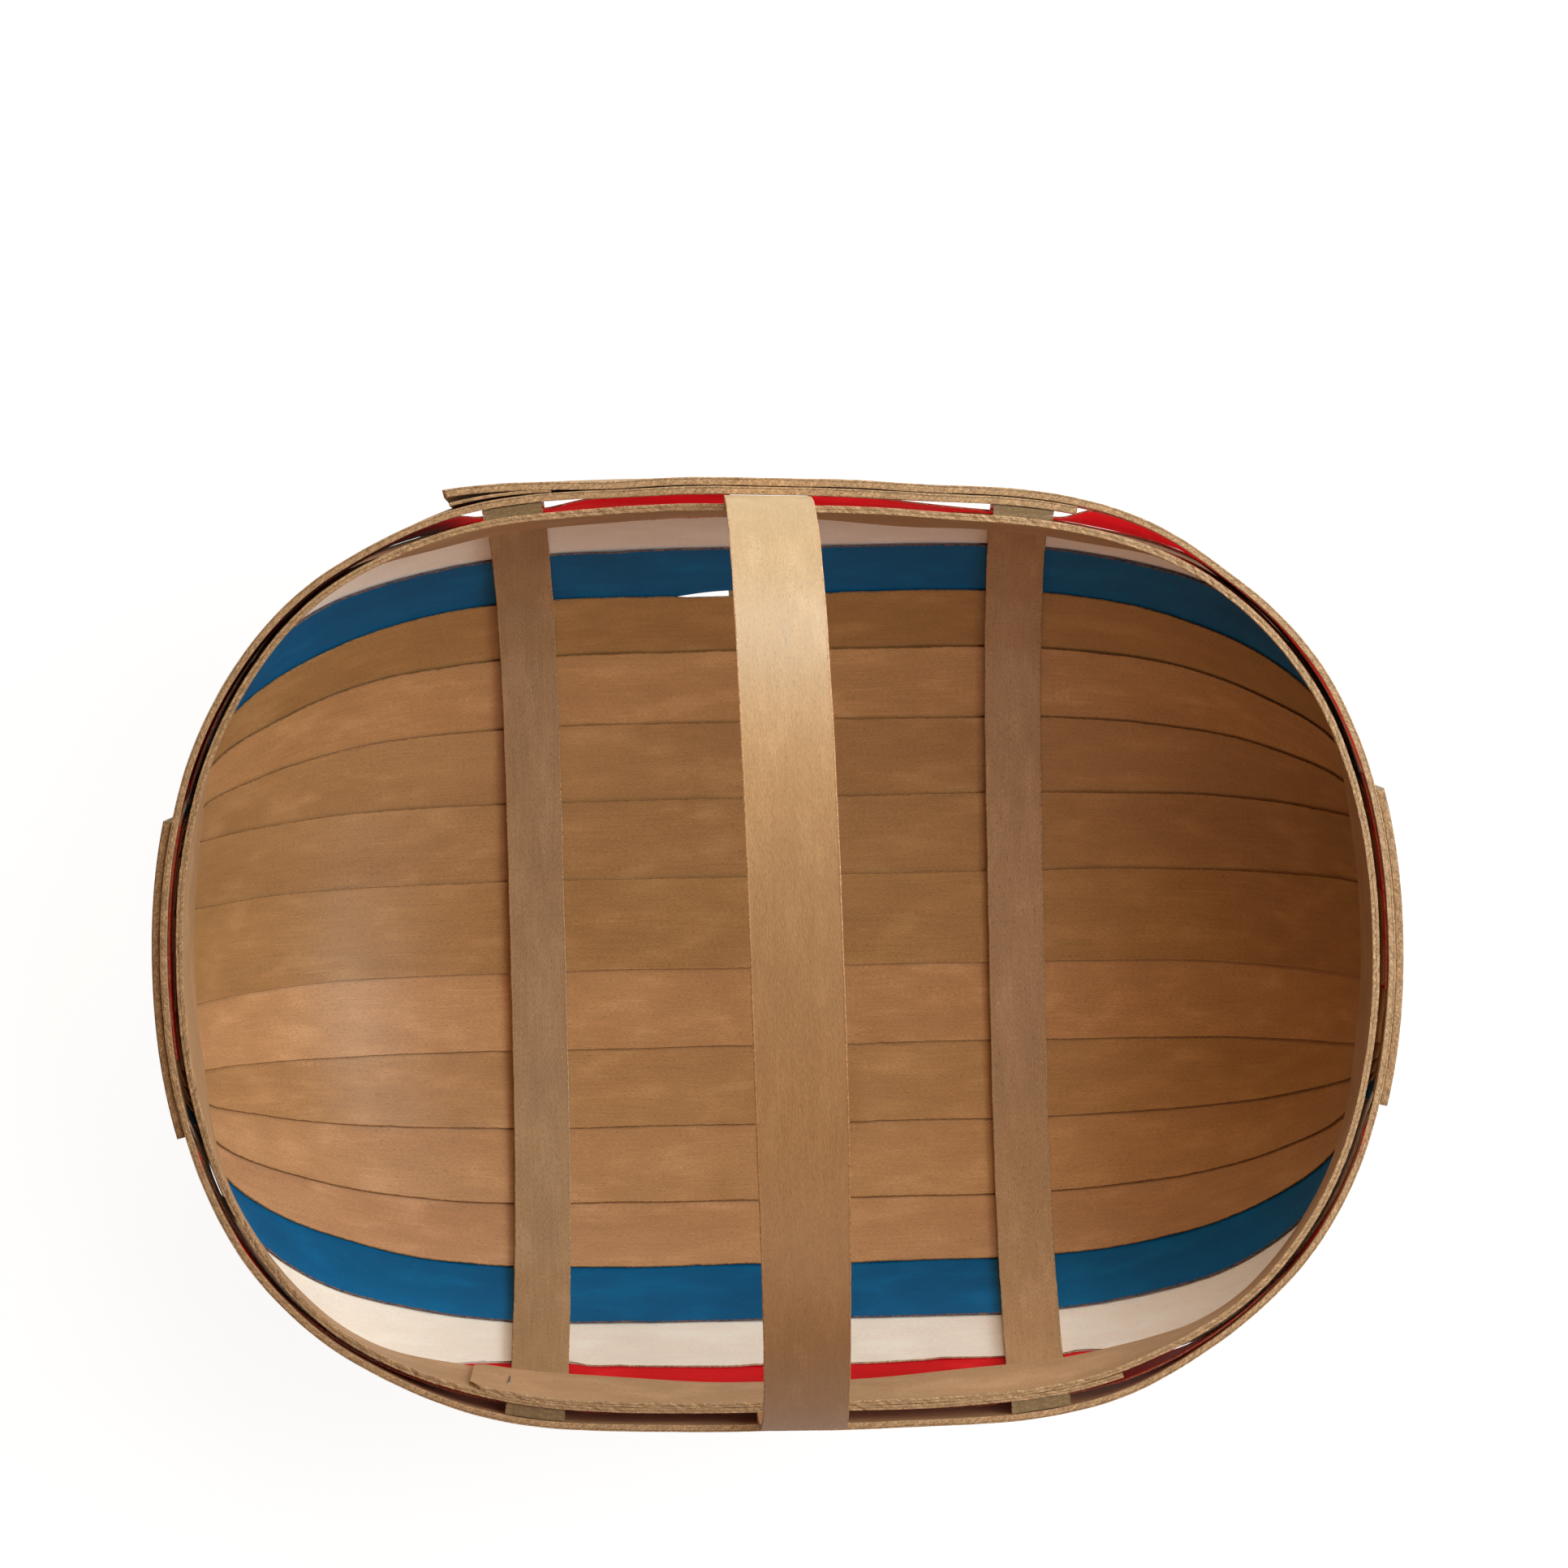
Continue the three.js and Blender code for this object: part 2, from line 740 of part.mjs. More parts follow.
const wood = () => paint('#b98f62', 0.6, 0);
const handleWood = () => paint('#cfae7e', 0.5, 0);
const brownStain = () => paint('#8f6338', 0.6, 0);
const blueStain = () => paint('#0d4a70', 0.6, 0);
const paleWood = () => paint('#cbb8a2', 0.65, 0);
const redStain = () => paint('#c01e28', 0.6, 0);
const steel = () => paint('#8f9094', 0.4, 1);

// Assembly

const basket = new THREE.Group();

function add(name, geometry, material) {
  const mesh = new THREE.Mesh(geometry, material);
  mesh.name = name;
  basket.add(mesh);
}

const sides = [{ name: 'front', sign: -1 }, { name: 'back', sign: 1 }];
const ends = [{ name: 'left', sign: -1 }, { name: 'right', sign: 1 }];

function addSlats() {
  const outwards = [
    { name: 'slat_brown_1', stain: brownStain },
    { name: 'slat_brown_2', stain: brownStain },
    { name: 'slat_brown_3', stain: brownStain },
    { name: 'slat_brown_4', stain: brownStain },
    { name: 'slat_blue', stain: blueStain },
    { name: 'slat_white', stain: paleWood },
    { name: 'slat_red', stain: redStain },
  ];
  add('slat_center', slatGeometry(1, 0), brownStain());
  for (const side of sides) {
    outwards.forEach(({ name, stain }, index) => {
      add(`${name}_${side.name}`, slatGeometry(side.sign, index + 1), stain());
    });
  }
}

function addRibs() {
  for (const end of ends) {
    add(`inner_rib_${end.name}`, innerRibGeometry(end.sign * ribSpanLength / 2), wood());
    add(`outer_rib_${end.name}`, outerRibGeometry(end.sign * ribSpanLength / 2), wood());
  }
}

function addOuterHoop() {
  const stations = roundPlan(1, outerLapUnder, outerLapTop);
  const frames = [];
  const outerFace = (station) => outerHoopOffset(station) + hoopThickness;
  const addFrame = (name, x, side, upright) => {
    const nearest = stations.findLastIndex((station) => Math.sign(station.y) === side
      && Math.abs(station.x - x) <= hoopStep / 2);
    frames.push({ name, frame: hoopStaple(stations, nearest, outerFace, 1, upright) });
  };
  for (const side of sides) {
    for (const end of ends) {
      addFrame(`staple_rib_${end.name}_${side.name}`, end.sign * ribSpanLength / 2, side.sign, false);
      const besideHandle = handleCenter(side.sign * halfWidth) + end.sign * handleStapleSpacing / 2;
      addFrame(`staple_handle_${end.name}_${side.name}`, besideHandle, side.sign, true);
    }
  }
  addFrame('staple_outer_lap', outerLapTop + lapStapleInset + lapLiftLength, 1, true);
  const pockets = frames.flatMap(({ frame }) => staplePockets(frame));
  add('outer_rim_hoop', cutPockets(hoopGeometry(stations, outerHoopOffset), pockets), wood());
  for (const { name, frame } of frames) add(name, stapleGeometry(frame), steel());
}

function addInnerHoop() {
  const stations = roundPlan(-1, innerLapUnder, innerLapTop);
  const nearest = stations.findIndex((station) => station.rest <= lapStapleInset);
  const frame = hoopStaple(stations, nearest, innerHoopOffset, -1, true);
  const hoop = hoopGeometry(stations, innerHoopOffset);
  add('inner_rim_hoop', cutPockets(hoop, staplePockets(frame)), wood());
  add('staple_inner_lap', stapleGeometry(frame), steel());
}

function addCleats() {
  for (const end of ends) {
    const frames = sides.map((side) => {
      const y = side.sign * (cleatLength / 2 - cleatStapleInset);
      const x = end.sign * planAlong(y);
      const offset = outerStack(x, y) + hoopThickness + fit + cleatThickness;
      return { name: `staple_cleat_${end.name}_${side.name}`, frame: wallStaple(x, y, offset) };
    });
    const pockets = frames.flatMap(({ frame }) => staplePockets(frame));
    add(`end_cleat_${end.name}`, cutPockets(cleatGeometry(end.sign), pockets), wood());
    for (const { name, frame } of frames) add(name, stapleGeometry(frame), steel());
  }
}

addSlats();
addRibs();
add('handle', handleGeometry(), handleWood());
addOuterHoop();
addInnerHoop();
addCleats();

export default basket;
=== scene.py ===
import math

import bpy
import numpy as np
from mathutils import Euler, Matrix, Vector


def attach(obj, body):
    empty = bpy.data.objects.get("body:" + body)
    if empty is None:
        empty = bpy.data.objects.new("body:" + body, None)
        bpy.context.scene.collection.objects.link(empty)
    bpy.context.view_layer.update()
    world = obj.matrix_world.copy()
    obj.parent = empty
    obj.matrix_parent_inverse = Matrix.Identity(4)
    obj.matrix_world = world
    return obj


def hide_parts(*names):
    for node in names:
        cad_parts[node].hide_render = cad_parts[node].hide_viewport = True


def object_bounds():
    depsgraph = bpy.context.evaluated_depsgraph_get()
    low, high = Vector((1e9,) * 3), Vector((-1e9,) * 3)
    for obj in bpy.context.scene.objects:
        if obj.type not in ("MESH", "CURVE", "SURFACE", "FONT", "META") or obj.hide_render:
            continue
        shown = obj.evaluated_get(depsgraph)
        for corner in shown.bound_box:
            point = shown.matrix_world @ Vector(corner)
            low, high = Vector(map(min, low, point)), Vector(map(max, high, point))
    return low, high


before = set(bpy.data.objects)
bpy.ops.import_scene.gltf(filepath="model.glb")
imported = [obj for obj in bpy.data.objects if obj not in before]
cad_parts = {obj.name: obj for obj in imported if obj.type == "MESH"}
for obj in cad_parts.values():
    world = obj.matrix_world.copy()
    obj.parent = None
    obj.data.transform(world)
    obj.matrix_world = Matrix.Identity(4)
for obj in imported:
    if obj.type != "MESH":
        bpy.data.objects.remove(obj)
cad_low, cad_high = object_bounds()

# Looks of the trug basket. Metres, +Z up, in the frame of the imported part: +X runs along the
# basket, +Y points to its back, and the camera looks down into it.

# Rim and bowl
RIM_LENGTH = 0.440
RIM_WIDTH = 0.339
HOOP_HEIGHT = 0.0255
HOOP_THICKNESS = 0.0025
WALL_FLARE = math.radians(3.6)
BOWL_DEPTH = 0.0925
GROUND_FLAT = 0.0006

# Slats
SLAT_THICKNESS = 0.0007
SLAT_GAP = 0.00025
WALL_SLAT_GAP = 0.0002
CENTER_SLAT_WIDTH = 0.035
BROWN_REVEAL = 0.0295
SIDE_REVEAL = 0.0277
WHITE_REVEAL = 0.024
SLAT_LAP = 0.0064
SLAT_ROW_SHIFT = 0.002
SLAT_TRIM = 0.0015

# Cross strips
RIB_WIDTH = 0.021
RIB_THICKNESS = 0.0023
RIB_SPAN_LENGTH = 0.180
RIB_TRIM = 0.001
HANDLE_WIDTH = 0.031
HANDLE_THICKNESS = 0.0024
HANDLE_RISE = 0.1599
HANDLE_SKEW = 0.004
HANDLE_LEAN = 0.004
HANDLE_JOINT_GAP = 0.001

# Laps, cleats and staples
OUTER_LAP_TOP = -0.1115
OUTER_LAP_UNDER = 0.108
INNER_LAP_TOP = -0.1145
INNER_LAP_UNDER = 0.120
LAP_LIFT = 0.0046
LAP_LIFT_LENGTH = 0.060
LAP_RAMP_LENGTH = 0.060
CLEAT_LENGTH = 0.109
CLEAT_THICKNESS = 0.003
CLEAT_TRIM = 0.0015
WIRE_WIDTH = 0.0009
CROWN_LENGTH = 0.009
LEG_DEPTH = 0.0016
CROWN_CLEARANCE = 0.0005
CLEAT_STAPLE_INSET = 0.008
HANDLE_STAPLE_SPACING = 0.016
LAP_STAPLE_INSET = 0.014

# Clearances
FIT = 0.00025
INNER_HOOP_FIT = 0.00045
CROSSING_MARGIN = 0.005
INNER_RAMP_LENGTH = 0.030
OUTER_RAMP_LENGTH = 0.045
END_BUNDLE_REACH = 0.092
END_BUNDLE_RAMP_LENGTH = 0.050

# The two ends and the two sides of the basket
ENDS = ((-1, "left"), (1, "right"))
SIDES = ((-1, "front"), (1, "back"))

# Pure numbers of the curves
END_POWER = 3.66
SIDE_POWER = 2.13
BOWL_POWER = 3.5
FLOOR_POWER = 1.15
END_LAP_POWER = 5
SEAM_END_POWER = 4.3
SEAM_SIDE_POWER = 1.45
WHITE_END_POWER = 4.5
WHITE_SIDE_POWER = 1.7
ARCH_POWER = 2.3
LAYERS_UNDER_ENDS = 2.1
END_LAP_SHARES = [0, 0.4, 0.9, 1.1, 1.1, 1.1, 1.1, 1.1]
HOOP_SHARE = 0.85
WALL_SHARE = 0.9999
WALL_TURN_SHARE = 0.8
SEAM_AT_HOOP = [0.0175, 0.0405, 0.0495, 0.057, 0.0605, 0.067]
SEAM_AT_RIM = [0.017, 0.037, 0.042, 0.046, 0.049, 0.055, 0.062, 0.070]
CURVE_SAMPLES = 4000
HALVINGS = 48
CAD_HOOP_STEP = 0.007

# Spacing of the points along the pieces
SLAT_STEP = 0.0026
HOOP_STEP = 0.0011
STRIP_STEP = 0.0015
ARCH_STEPS = 160

# Worked out from the driving sizes
LAYER_STEP = SLAT_THICKNESS + SLAT_GAP
STACKED_SLATS = SLAT_THICKNESS + (1 + SLAT_LAP / SIDE_REVEAL) * LAYER_STEP + WALL_SLAT_GAP
STRIP_OFFSET = STACKED_SLATS + 2 * FIT
CROSSING_STACK = STRIP_OFFSET + HANDLE_THICKNESS + FIT
END_STACK = SLAT_THICKNESS + LAYERS_UNDER_ENDS * LAYER_STEP + WALL_SLAT_GAP + FIT
PLAIN_STACK = STACKED_SLATS + FIT
FLARE_SIN = math.sin(WALL_FLARE)
FLARE_COS = math.cos(WALL_FLARE)
HALF_LENGTH = RIM_LENGTH / 2 - HOOP_THICKNESS - END_STACK - HOOP_HEIGHT * FLARE_SIN
HALF_WIDTH = RIM_WIDTH / 2 - HOOP_THICKNESS - CROSSING_STACK - HOOP_HEIGHT * FLARE_SIN
HOOP_LEVEL = BOWL_DEPTH + STRIP_OFFSET + HANDLE_THICKNESS - GROUND_FLAT
RIM_LEVEL = HOOP_LEVEL + HOOP_HEIGHT * FLARE_COS
ZETA_POWER = BOWL_POWER / SIDE_POWER
LAP_STEP = HOOP_THICKNESS + FIT
WHITE_SEAM = len(SEAM_AT_HOOP)
BLUE = WHITE_SEAM - 1
RED_EDGE = WHITE_SEAM + 1
WALL_TOP = HOOP_HEIGHT - SLAT_TRIM
RIB_PLACE = RIB_SPAN_LENGTH / 2
RIB_PLACES = (-RIB_PLACE, RIB_PLACE)


# Small helpers

def smooth(value, low, high):
    share = np.clip((value - low) / (high - low), 0, 1)
    return share * share * (3 - 2 * share)


def bump(distance, reach, ramp):
    """1 within a reach, falling to 0 over a ramp."""
    return 1 - smooth(distance, reach, reach + ramp)


def unit(vectors):
    return vectors / np.maximum(np.linalg.norm(vectors, axis=-1, keepdims=True), 1e-12)


def stack(*parts):
    return np.stack(np.broadcast_arrays(*parts), axis=-1)


def wobble(run, wave, seed, octaves=4):
    """Irregular waves along a run, about 1 high and as long as wave. A seed always gives the same."""
    rng = np.random.default_rng(seed)
    total = np.zeros_like(np.asarray(run, float))
    for octave in range(octaves):
        length = wave / 1.9 ** octave * rng.uniform(0.8, 1.2)
        total += np.sin(2 * math.pi * (run / length + rng.random())) / (octave + 1)
    return total / 1.7


def chips(run, wave, seed, share):
    """Separate chips along a run: 0 over most of it, up to 1 in about that share of it."""
    waves = wobble(run, wave, seed, 5)
    level = np.quantile(wobble(np.linspace(0, 1, 4000), wave, seed, 5), 1 - share)
    return np.clip((waves - level) * 3, 0, 1)


def cut_waves(run, height, length, seed, octaves=4):
    """How far slow or fine waves cut into an edge."""
    return height * (1 + wobble(run, length, seed, octaves))


def runs_along(line):
    """Length from the start of a line to each of its points."""
    return np.concatenate([[0], np.cumsum(np.linalg.norm(np.diff(line, axis=0), axis=1))])


# The basket's surface

def plan_across(x):
    share = np.minimum(1, np.abs(x) / HALF_LENGTH)
    return HALF_WIDTH * (1 - share ** END_POWER) ** (1 / SIDE_POWER)


def plan_along(y):
    share = np.minimum(1, np.abs(y) / HALF_WIDTH)
    return HALF_LENGTH * (1 - share ** SIDE_POWER) ** (1 / END_POWER)


def plan_slopes(x, y):
    along = np.sign(x) * END_POWER * np.abs(x / HALF_LENGTH) ** (END_POWER - 1) / HALF_LENGTH
    across = np.sign(y) * SIDE_POWER * np.abs(y / HALF_WIDTH) ** (SIDE_POWER - 1) / HALF_WIDTH
    return along, across


def plan_normal(x, y):
    along, across = plan_slopes(x, y)
    size = np.maximum(np.hypot(along, across), 1e-12)
    return along / size, across / size


def plan_level(x, y):
    return np.abs(x / HALF_LENGTH) ** END_POWER + np.abs(y / HALF_WIDTH) ** SIDE_POWER


def plan_share(x, y):
    """How far a point lies out from the middle, as a share of the plan curve in its direction."""
    low = np.zeros(np.shape(x))
    high = np.full(np.shape(x), 2.0)
    for _ in range(HALVINGS):
        middle = (low + high) / 2
        outside = plan_level(x / middle, y / middle) > 1
        low = np.where(outside, middle, low)
        high = np.where(outside, high, middle)
    return high


def wall_point(x, y, up, out):
    """A point of the flared wall behind the hoops, above a point of the plan curve."""
    nx, ny = plan_normal(x, y)
    aside = up * FLARE_SIN + out * FLARE_COS
    return stack(x + nx * aside, y + ny * aside, HOOP_LEVEL + up * FLARE_COS - out * FLARE_SIN)


def bowl_point(x, y, out):
    """A point of the bowl below the hoops, and out from it."""
    level = np.minimum(plan_level(x, y), WALL_SHARE)
    zeta = level ** ZETA_POWER
    z = HOOP_LEVEL - BOWL_DEPTH * (1 - zeta) ** (1 / FLOOR_POWER)
    steepness = BOWL_DEPTH / FLOOR_POWER * (1 - zeta) ** (1 / FLOOR_POWER - 1)
    slope = steepness * ZETA_POWER * level ** (ZETA_POWER - 1)
    along, across = plan_slopes(x, y)
    nx, ny = plan_normal(x, y)
    upright = stack(nx * FLARE_COS, ny * FLARE_COS, -FLARE_SIN)
    outwards = unit(stack(slope * along, slope * across, -1.0))
    turn = smooth(level, WALL_TURN_SHARE, 1)[..., None]
    outwards = unit(outwards + (upright - outwards) * turn)
    return stack(x, y, z) + outwards * np.asarray(out)[..., None]


def laid_flat(foot_x, foot_y, up):
    share = 1 + up / np.hypot(foot_x, foot_y)
    return foot_x * share, foot_y * share


# Seams between the slats

def seams_at_middle():
    reveals = [BROWN_REVEAL] * 3 + [SIDE_REVEAL] * 2 + [WHITE_REVEAL]
    step = HALF_WIDTH / CURVE_SAMPLES
    first = CENTER_SLAT_WIDTH / 2
    ys = np.minimum(first + step * np.arange(CURVE_SAMPLES + 1), HALF_WIDTH)
    line = bowl_point(np.zeros_like(ys), ys, np.zeros_like(ys))
    runs = runs_along(line)
    seams, at = [first], 0
    for reveal in reveals:
        at = int(np.searchsorted(runs, runs[at] + reveal))
        seams.append(ys[at])
    return seams


SEAM_AT_MIDDLE = seams_at_middle()


def seam_places(side, seam):
    shift = side * SLAT_ROW_SHIFT
    if seam == RED_EDGE:
        shift = 0
    elif seam == WHITE_SEAM:
        shift /= 2
    rim = SEAM_AT_RIM[seam] + shift
    places = {"rim": rim, "end": laid_flat(plan_along(rim), rim, WALL_TOP)}
    if seam < RED_EDGE:
        places["middle"] = SEAM_AT_MIDDLE[seam] + shift
    if seam < WHITE_SEAM:
        places["under"] = SEAM_AT_HOOP[seam] + shift
        places["turn"] = plan_along(places["under"])
    return places


SEAMS = {side: [seam_places(side, seam) for seam in range(RED_EDGE + 1)] for side in (-1, 1)}


# How much further the white slat reaches up behind the inner hoop at the back
BACK_WHITE_RISE = 0.001


def seam_across(side, seam, x):
    """Distance of a seam from the middle line at a place along the flat plan."""
    places = SEAMS[side][seam]
    end_x, end_y = places["end"]
    along = np.minimum(np.abs(x), end_x)
    if seam == WHITE_SEAM:
        curve = (1 - (along / end_x) ** WHITE_END_POWER) ** (1 / WHITE_SIDE_POWER)
        return end_y + (places["middle"] - end_y) * curve
    turn, under = places["turn"], places["under"]
    share = np.minimum(1, along / turn)
    curve = (1 - share ** SEAM_END_POWER) ** (1 / SEAM_SIDE_POWER)
    in_bowl = under + (places["middle"] - under) * curve
    on_wall = under + (end_y - under) * (along - turn) / (end_x - turn)
    return np.where(along <= turn, in_bowl, on_wall)


def seam_point(side, seam, along):
    """A point of a seam in the flat plan; along runs from -1 to 1 from end to end."""
    if seam < 0:
        return seam_point(-side, 0, along)
    places = SEAMS[side][seam]
    quarter = math.pi / 2
    if seam == RED_EDGE:
        x = plan_along(places["rim"]) * np.sin(along * quarter)
        return stack(*laid_flat(x, side * plan_across(x), WALL_TOP))
    end_x = places["end"][0]
    x = end_x * np.sin(along * quarter)
    if seam != WHITE_SEAM:
        size = np.abs(along)
        in_bowl = places["turn"] * np.sin(np.minimum(1, size / HOOP_SHARE) * quarter)
        past = np.maximum(0, (size - HOOP_SHARE) / (1 - HOOP_SHARE))
        x = np.sign(along) * (in_bowl + (end_x - places["turn"]) * past)
    raised = BACK_WHITE_RISE if side == 1 and seam == WHITE_SEAM else 0
    return stack(x, side * (seam_across(side, seam, x) + raised))


def between_seams(side, across, along):
    """Plan points between seams; across counts seams outwards from the middle slat."""
    seams = np.stack([seam_point(side, seam, along) for seam in range(-1, RED_EDGE + 1)])
    below = np.clip(np.floor(across).astype(int), -1, RED_EDGE - 1)
    share = (across - below)[..., None]
    low = np.take_along_axis(seams, (below + 1)[None, ..., None], axis=0)[0]
    high = np.take_along_axis(seams, (below + 2)[None, ..., None], axis=0)[0]
    return low + (high - low) * share


def layer_offset(slat, across):
    """How far out a slat lies where it passes under the slats nearer the middle."""
    layers = sum(np.clip(inner + 1 - across, 0, 1) for inner in range(slat))
    extra = WALL_SLAT_GAP if slat >= WHITE_SEAM else 0
    return layers * LAYER_STEP + extra + np.zeros_like(across)


# Room between the slats and the hoops

def handle_center(y):
    return HANDLE_SKEW * (1 - y / HALF_WIDTH) / 2


# How the bent hoops really lie: their tops lean in or out, the outer one runs smoothly over
# the cross strips and the inner one swings out between the ribs
OUTER_TOP_IN = 0.001
OUTER_TOP_IN_SHARES = (0.45, 0.55)
OUTER_DIP = 0.0004
DIP_PLACE = 0.05
DIP_REACH = 0.035
BACK_RIGHT_RAMP = 0.060
BACK_RIGHT_START = 0.04
INNER_SINK = 0.0010
SINK_SHARE = 1.3
SINK_PLACE = -0.020
SINK_BUMP = (0.012, 0.050)
INNER_SPAN_RAMP = 0.058
LAP_GAP = 0.0004

# At the ribs the hoops' upper edges come closer: how far out the inner one is at the ribs
# and between them, and how far the outer one is drawn in, at the front and at the back
INNER_HELD_TOPS = {-1: -0.0008, 1: -0.0010}
INNER_FREE_TOPS = {-1: -0.00025, 1: 0.00085}
OUTER_PULLS = {-1: 0.0003, 1: 0.0013}
PULL_RAMP = 0.050


def at_ribs(x, ramp):
    """1 where the ribs hold the hoops off the slats, falling to 0 on both sides of them."""
    return bump(np.abs(np.abs(x) - RIB_PLACE), RIB_WIDTH / 2 + CROSSING_MARGIN, ramp)


def by_side(y, pairs):
    return np.where(y < 0, pairs[-1], pairs[1])


def outer_face(x, y):
    """Offset of the outer hoop's inner face at its lower and its upper edge."""
    between = bump(np.abs(np.abs(x) - DIP_PLACE), 0.0, DIP_REACH)
    ramp = np.where((x > 0) & (y > 0), BACK_RIGHT_RAMP, OUTER_RAMP_LENGTH)
    level = bump(np.abs(x), (RIB_SPAN_LENGTH + RIB_WIDTH) / 2 + CROSSING_MARGIN, ramp)
    crossing = (CROSSING_STACK - PLAIN_STACK) * level
    reach = bump(np.abs(y), END_BUNDLE_REACH, END_BUNDLE_RAMP_LENGTH)
    low = PLAIN_STACK + np.maximum(crossing, (END_STACK - PLAIN_STACK) * reach)
    pull = by_side(y, OUTER_PULLS) * at_ribs(x, PULL_RAMP)
    plain, more = OUTER_TOP_IN_SHARES
    top = low - OUTER_DIP * between - OUTER_TOP_IN * (plain + more * level) - pull
    back_right = (y > 0) * smooth(x, 0.0, BACK_RIGHT_START)
    return low - back_right * np.maximum(0, low - top - OUTER_TOP_IN), top + 0 * low


def inner_face(x, y):
    """Offset of the inner hoop's outer face at its lower and its upper edge."""
    between = (1 - at_ribs(x, INNER_RAMP_LENGTH)) * (np.abs(x) < RIB_PLACE)
    slack = between - SINK_SHARE * bump(np.abs(x - SINK_PLACE), *SINK_BUMP)
    beyond = np.abs(x) > RIB_PLACE
    wave = at_ribs(x, np.where(beyond, OUTER_RAMP_LENGTH, INNER_SPAN_RAMP))
    low = -INNER_HOOP_FIT - (RIB_THICKNESS + FIT) * wave - INNER_SINK * slack * (y > 0)
    past = np.where(beyond, -INNER_HOOP_FIT, by_side(y, INNER_FREE_TOPS))
    return low, past + (by_side(y, INNER_HELD_TOPS) - past) * at_ribs(x, PULL_RAMP)


# A crossing strip holds the slats in: how soon they part from it, towards -X and towards +X,
# and how much narrower than the handle its hold on them is
LEFT_RIB_RAMPS = (0.010, 0.019)
RIGHT_RIB_RAMPS = (0.045, 0.014)
HANDLE_RAMPS = (0.002, 0.002)
HANDLE_HOLD_TRIM = 0.004
LEAN_POWER = 1.5
BACK_LEAN_ROOM = 0.0006
BACK_LEFT_SHARE = 0.6

# Where along the basket the outer lap's climb starts and ends, and where the lean is held
# back at the front and towards the back left corner
CLIMB_START = (0.098, 0.112)
CLIMB_END = (0.120, 0.168)
FRONT_STILL = (0.125, 0.05)
BACK_LEFT_STILL = (0.128, 0.150)

# Slow waves of the slats: height, lengths, slants, and the shares of the plan where they end
BELLY = 0.00045
BELLY_WAVES = (0.11, 0.075)
BELLY_SLANTS = (0.3, 0.4)
BELLY_SHARES = (0.7, 0.92)
BELLY_RAMPS = (0.03, 0.03)


def held(x, center, half, ramps):
    gap = np.where(x < center, (center - half - x) / ramps[0], (x - center - half) / ramps[1])
    return 1 - smooth(gap, 0, 1)


def slat_lean(x, y, layer):
    """How far the slats lean out to the outer hoop at the rim, from their place in the layers."""
    strips = [
        held(x, -RIB_PLACE, RIB_WIDTH / 2, LEFT_RIB_RAMPS),
        held(x, RIB_PLACE, RIB_WIDTH / 2, RIGHT_RIB_RAMPS),
        held(x, handle_center(np.sign(y) * HALF_WIDTH), HANDLE_WIDTH / 2 - HANDLE_HOLD_TRIM, HANDLE_RAMPS),
    ]
    room = outer_face(x, y)[1] - SLAT_THICKNESS
    climbed = HOOP_THICKNESS * smooth(x, *CLIMB_START) * (1 - smooth(x, *CLIMB_END))
    room = room + np.where(y < 0, -LAP_GAP, BACK_LEAN_ROOM - layer + climbed)
    free = 1 - np.maximum.reduce(strips)
    front = (y < 0) * bump(np.abs(x), *FRONT_STILL)
    back_left = (y > 0) * smooth(-x, *BACK_LEFT_STILL)
    return np.maximum(0, room) * free * (1 - front) * (1 - BACK_LEFT_SHARE * back_left)


def slat_belly(x, y, share):
    """Slow waves of the slats, calm at the strips and at the hoops."""
    calm = np.maximum(*(held(x, place, RIB_WIDTH / 2, BELLY_RAMPS) for place in RIB_PLACES))
    long, short = BELLY_WAVES
    waves = wobble(x + BELLY_SLANTS[0] * y, long, 5, 3) * wobble(y - BELLY_SLANTS[1] * x, short, 6, 2)
    return BELLY * waves * (1 - calm) * (1 - smooth(share, *BELLY_SHARES))


def slat_point(x, y, layer, depth):
    """The slats' surface over the flat plan, leaning out to the hoop between the strips."""
    share = plan_share(x, y)
    foot_x, foot_y = x / share, y / share
    up = np.maximum(0, np.hypot(x, y) - np.hypot(foot_x, foot_y))
    lean = slat_lean(foot_x, foot_y, layer) * (up / WALL_TOP) ** LEAN_POWER
    wall = wall_point(foot_x, foot_y, up, layer + depth + lean)
    bowl = bowl_point(x, y, layer + depth + slat_belly(x, y, share))
    return np.where((share < WALL_SHARE)[..., None], bowl, wall)


# How the rim has settled: towards the front along its back side, and outwards along its
# front side, there at its upper and at its lower edge, at places from its left to its right
# end
SETTLE_X = (-0.220, -0.198, -0.164, -0.130, -0.112, -0.090, -0.055, -0.025, 0.003, 0.045,
            0.090, 0.113, 0.136, 0.160, 0.183, 0.200, 0.220)
SETTLE_BACK = (0, 0.0010, -0.0008, -0.0006, -0.0017, -0.0017, -0.0006, 0.0004, 0.0015, 0.0031,
               0.0030, 0.0029, 0.0026, 0.0029, 0.0023, 0.0009, 0)
SETTLE_FRONT = (0, 0, 0, 0, 0.0004, 0.0014, 0.0014, 0.0013, 0.0013, 0.0018,
                0.0024, 0.0022, 0.0012, -0.0006, -0.0013, 0, 0)
SETTLE_FRONT_LOW = (0, 0, 0, 0.0010, 0.0006, 0, 0, 0, 0, 0, 0.0004, 0.0018, 0.0024, 0.0010, 0, 0, 0)
SETTLE_SPREAD = 0.014
SETTLE_DEPTH = (0.06, 0.11)
BACK_RISE = (HOOP_LEVEL - 0.012, HOOP_LEVEL + 0.002)
FRONT_RISE = (HOOP_LEVEL + 0.006, RIM_LEVEL - 0.002)
LOW_RISE = (HOOP_LEVEL - 0.012, HOOP_LEVEL)
LOW_FALL = (HOOP_LEVEL + 0.004, RIM_LEVEL)

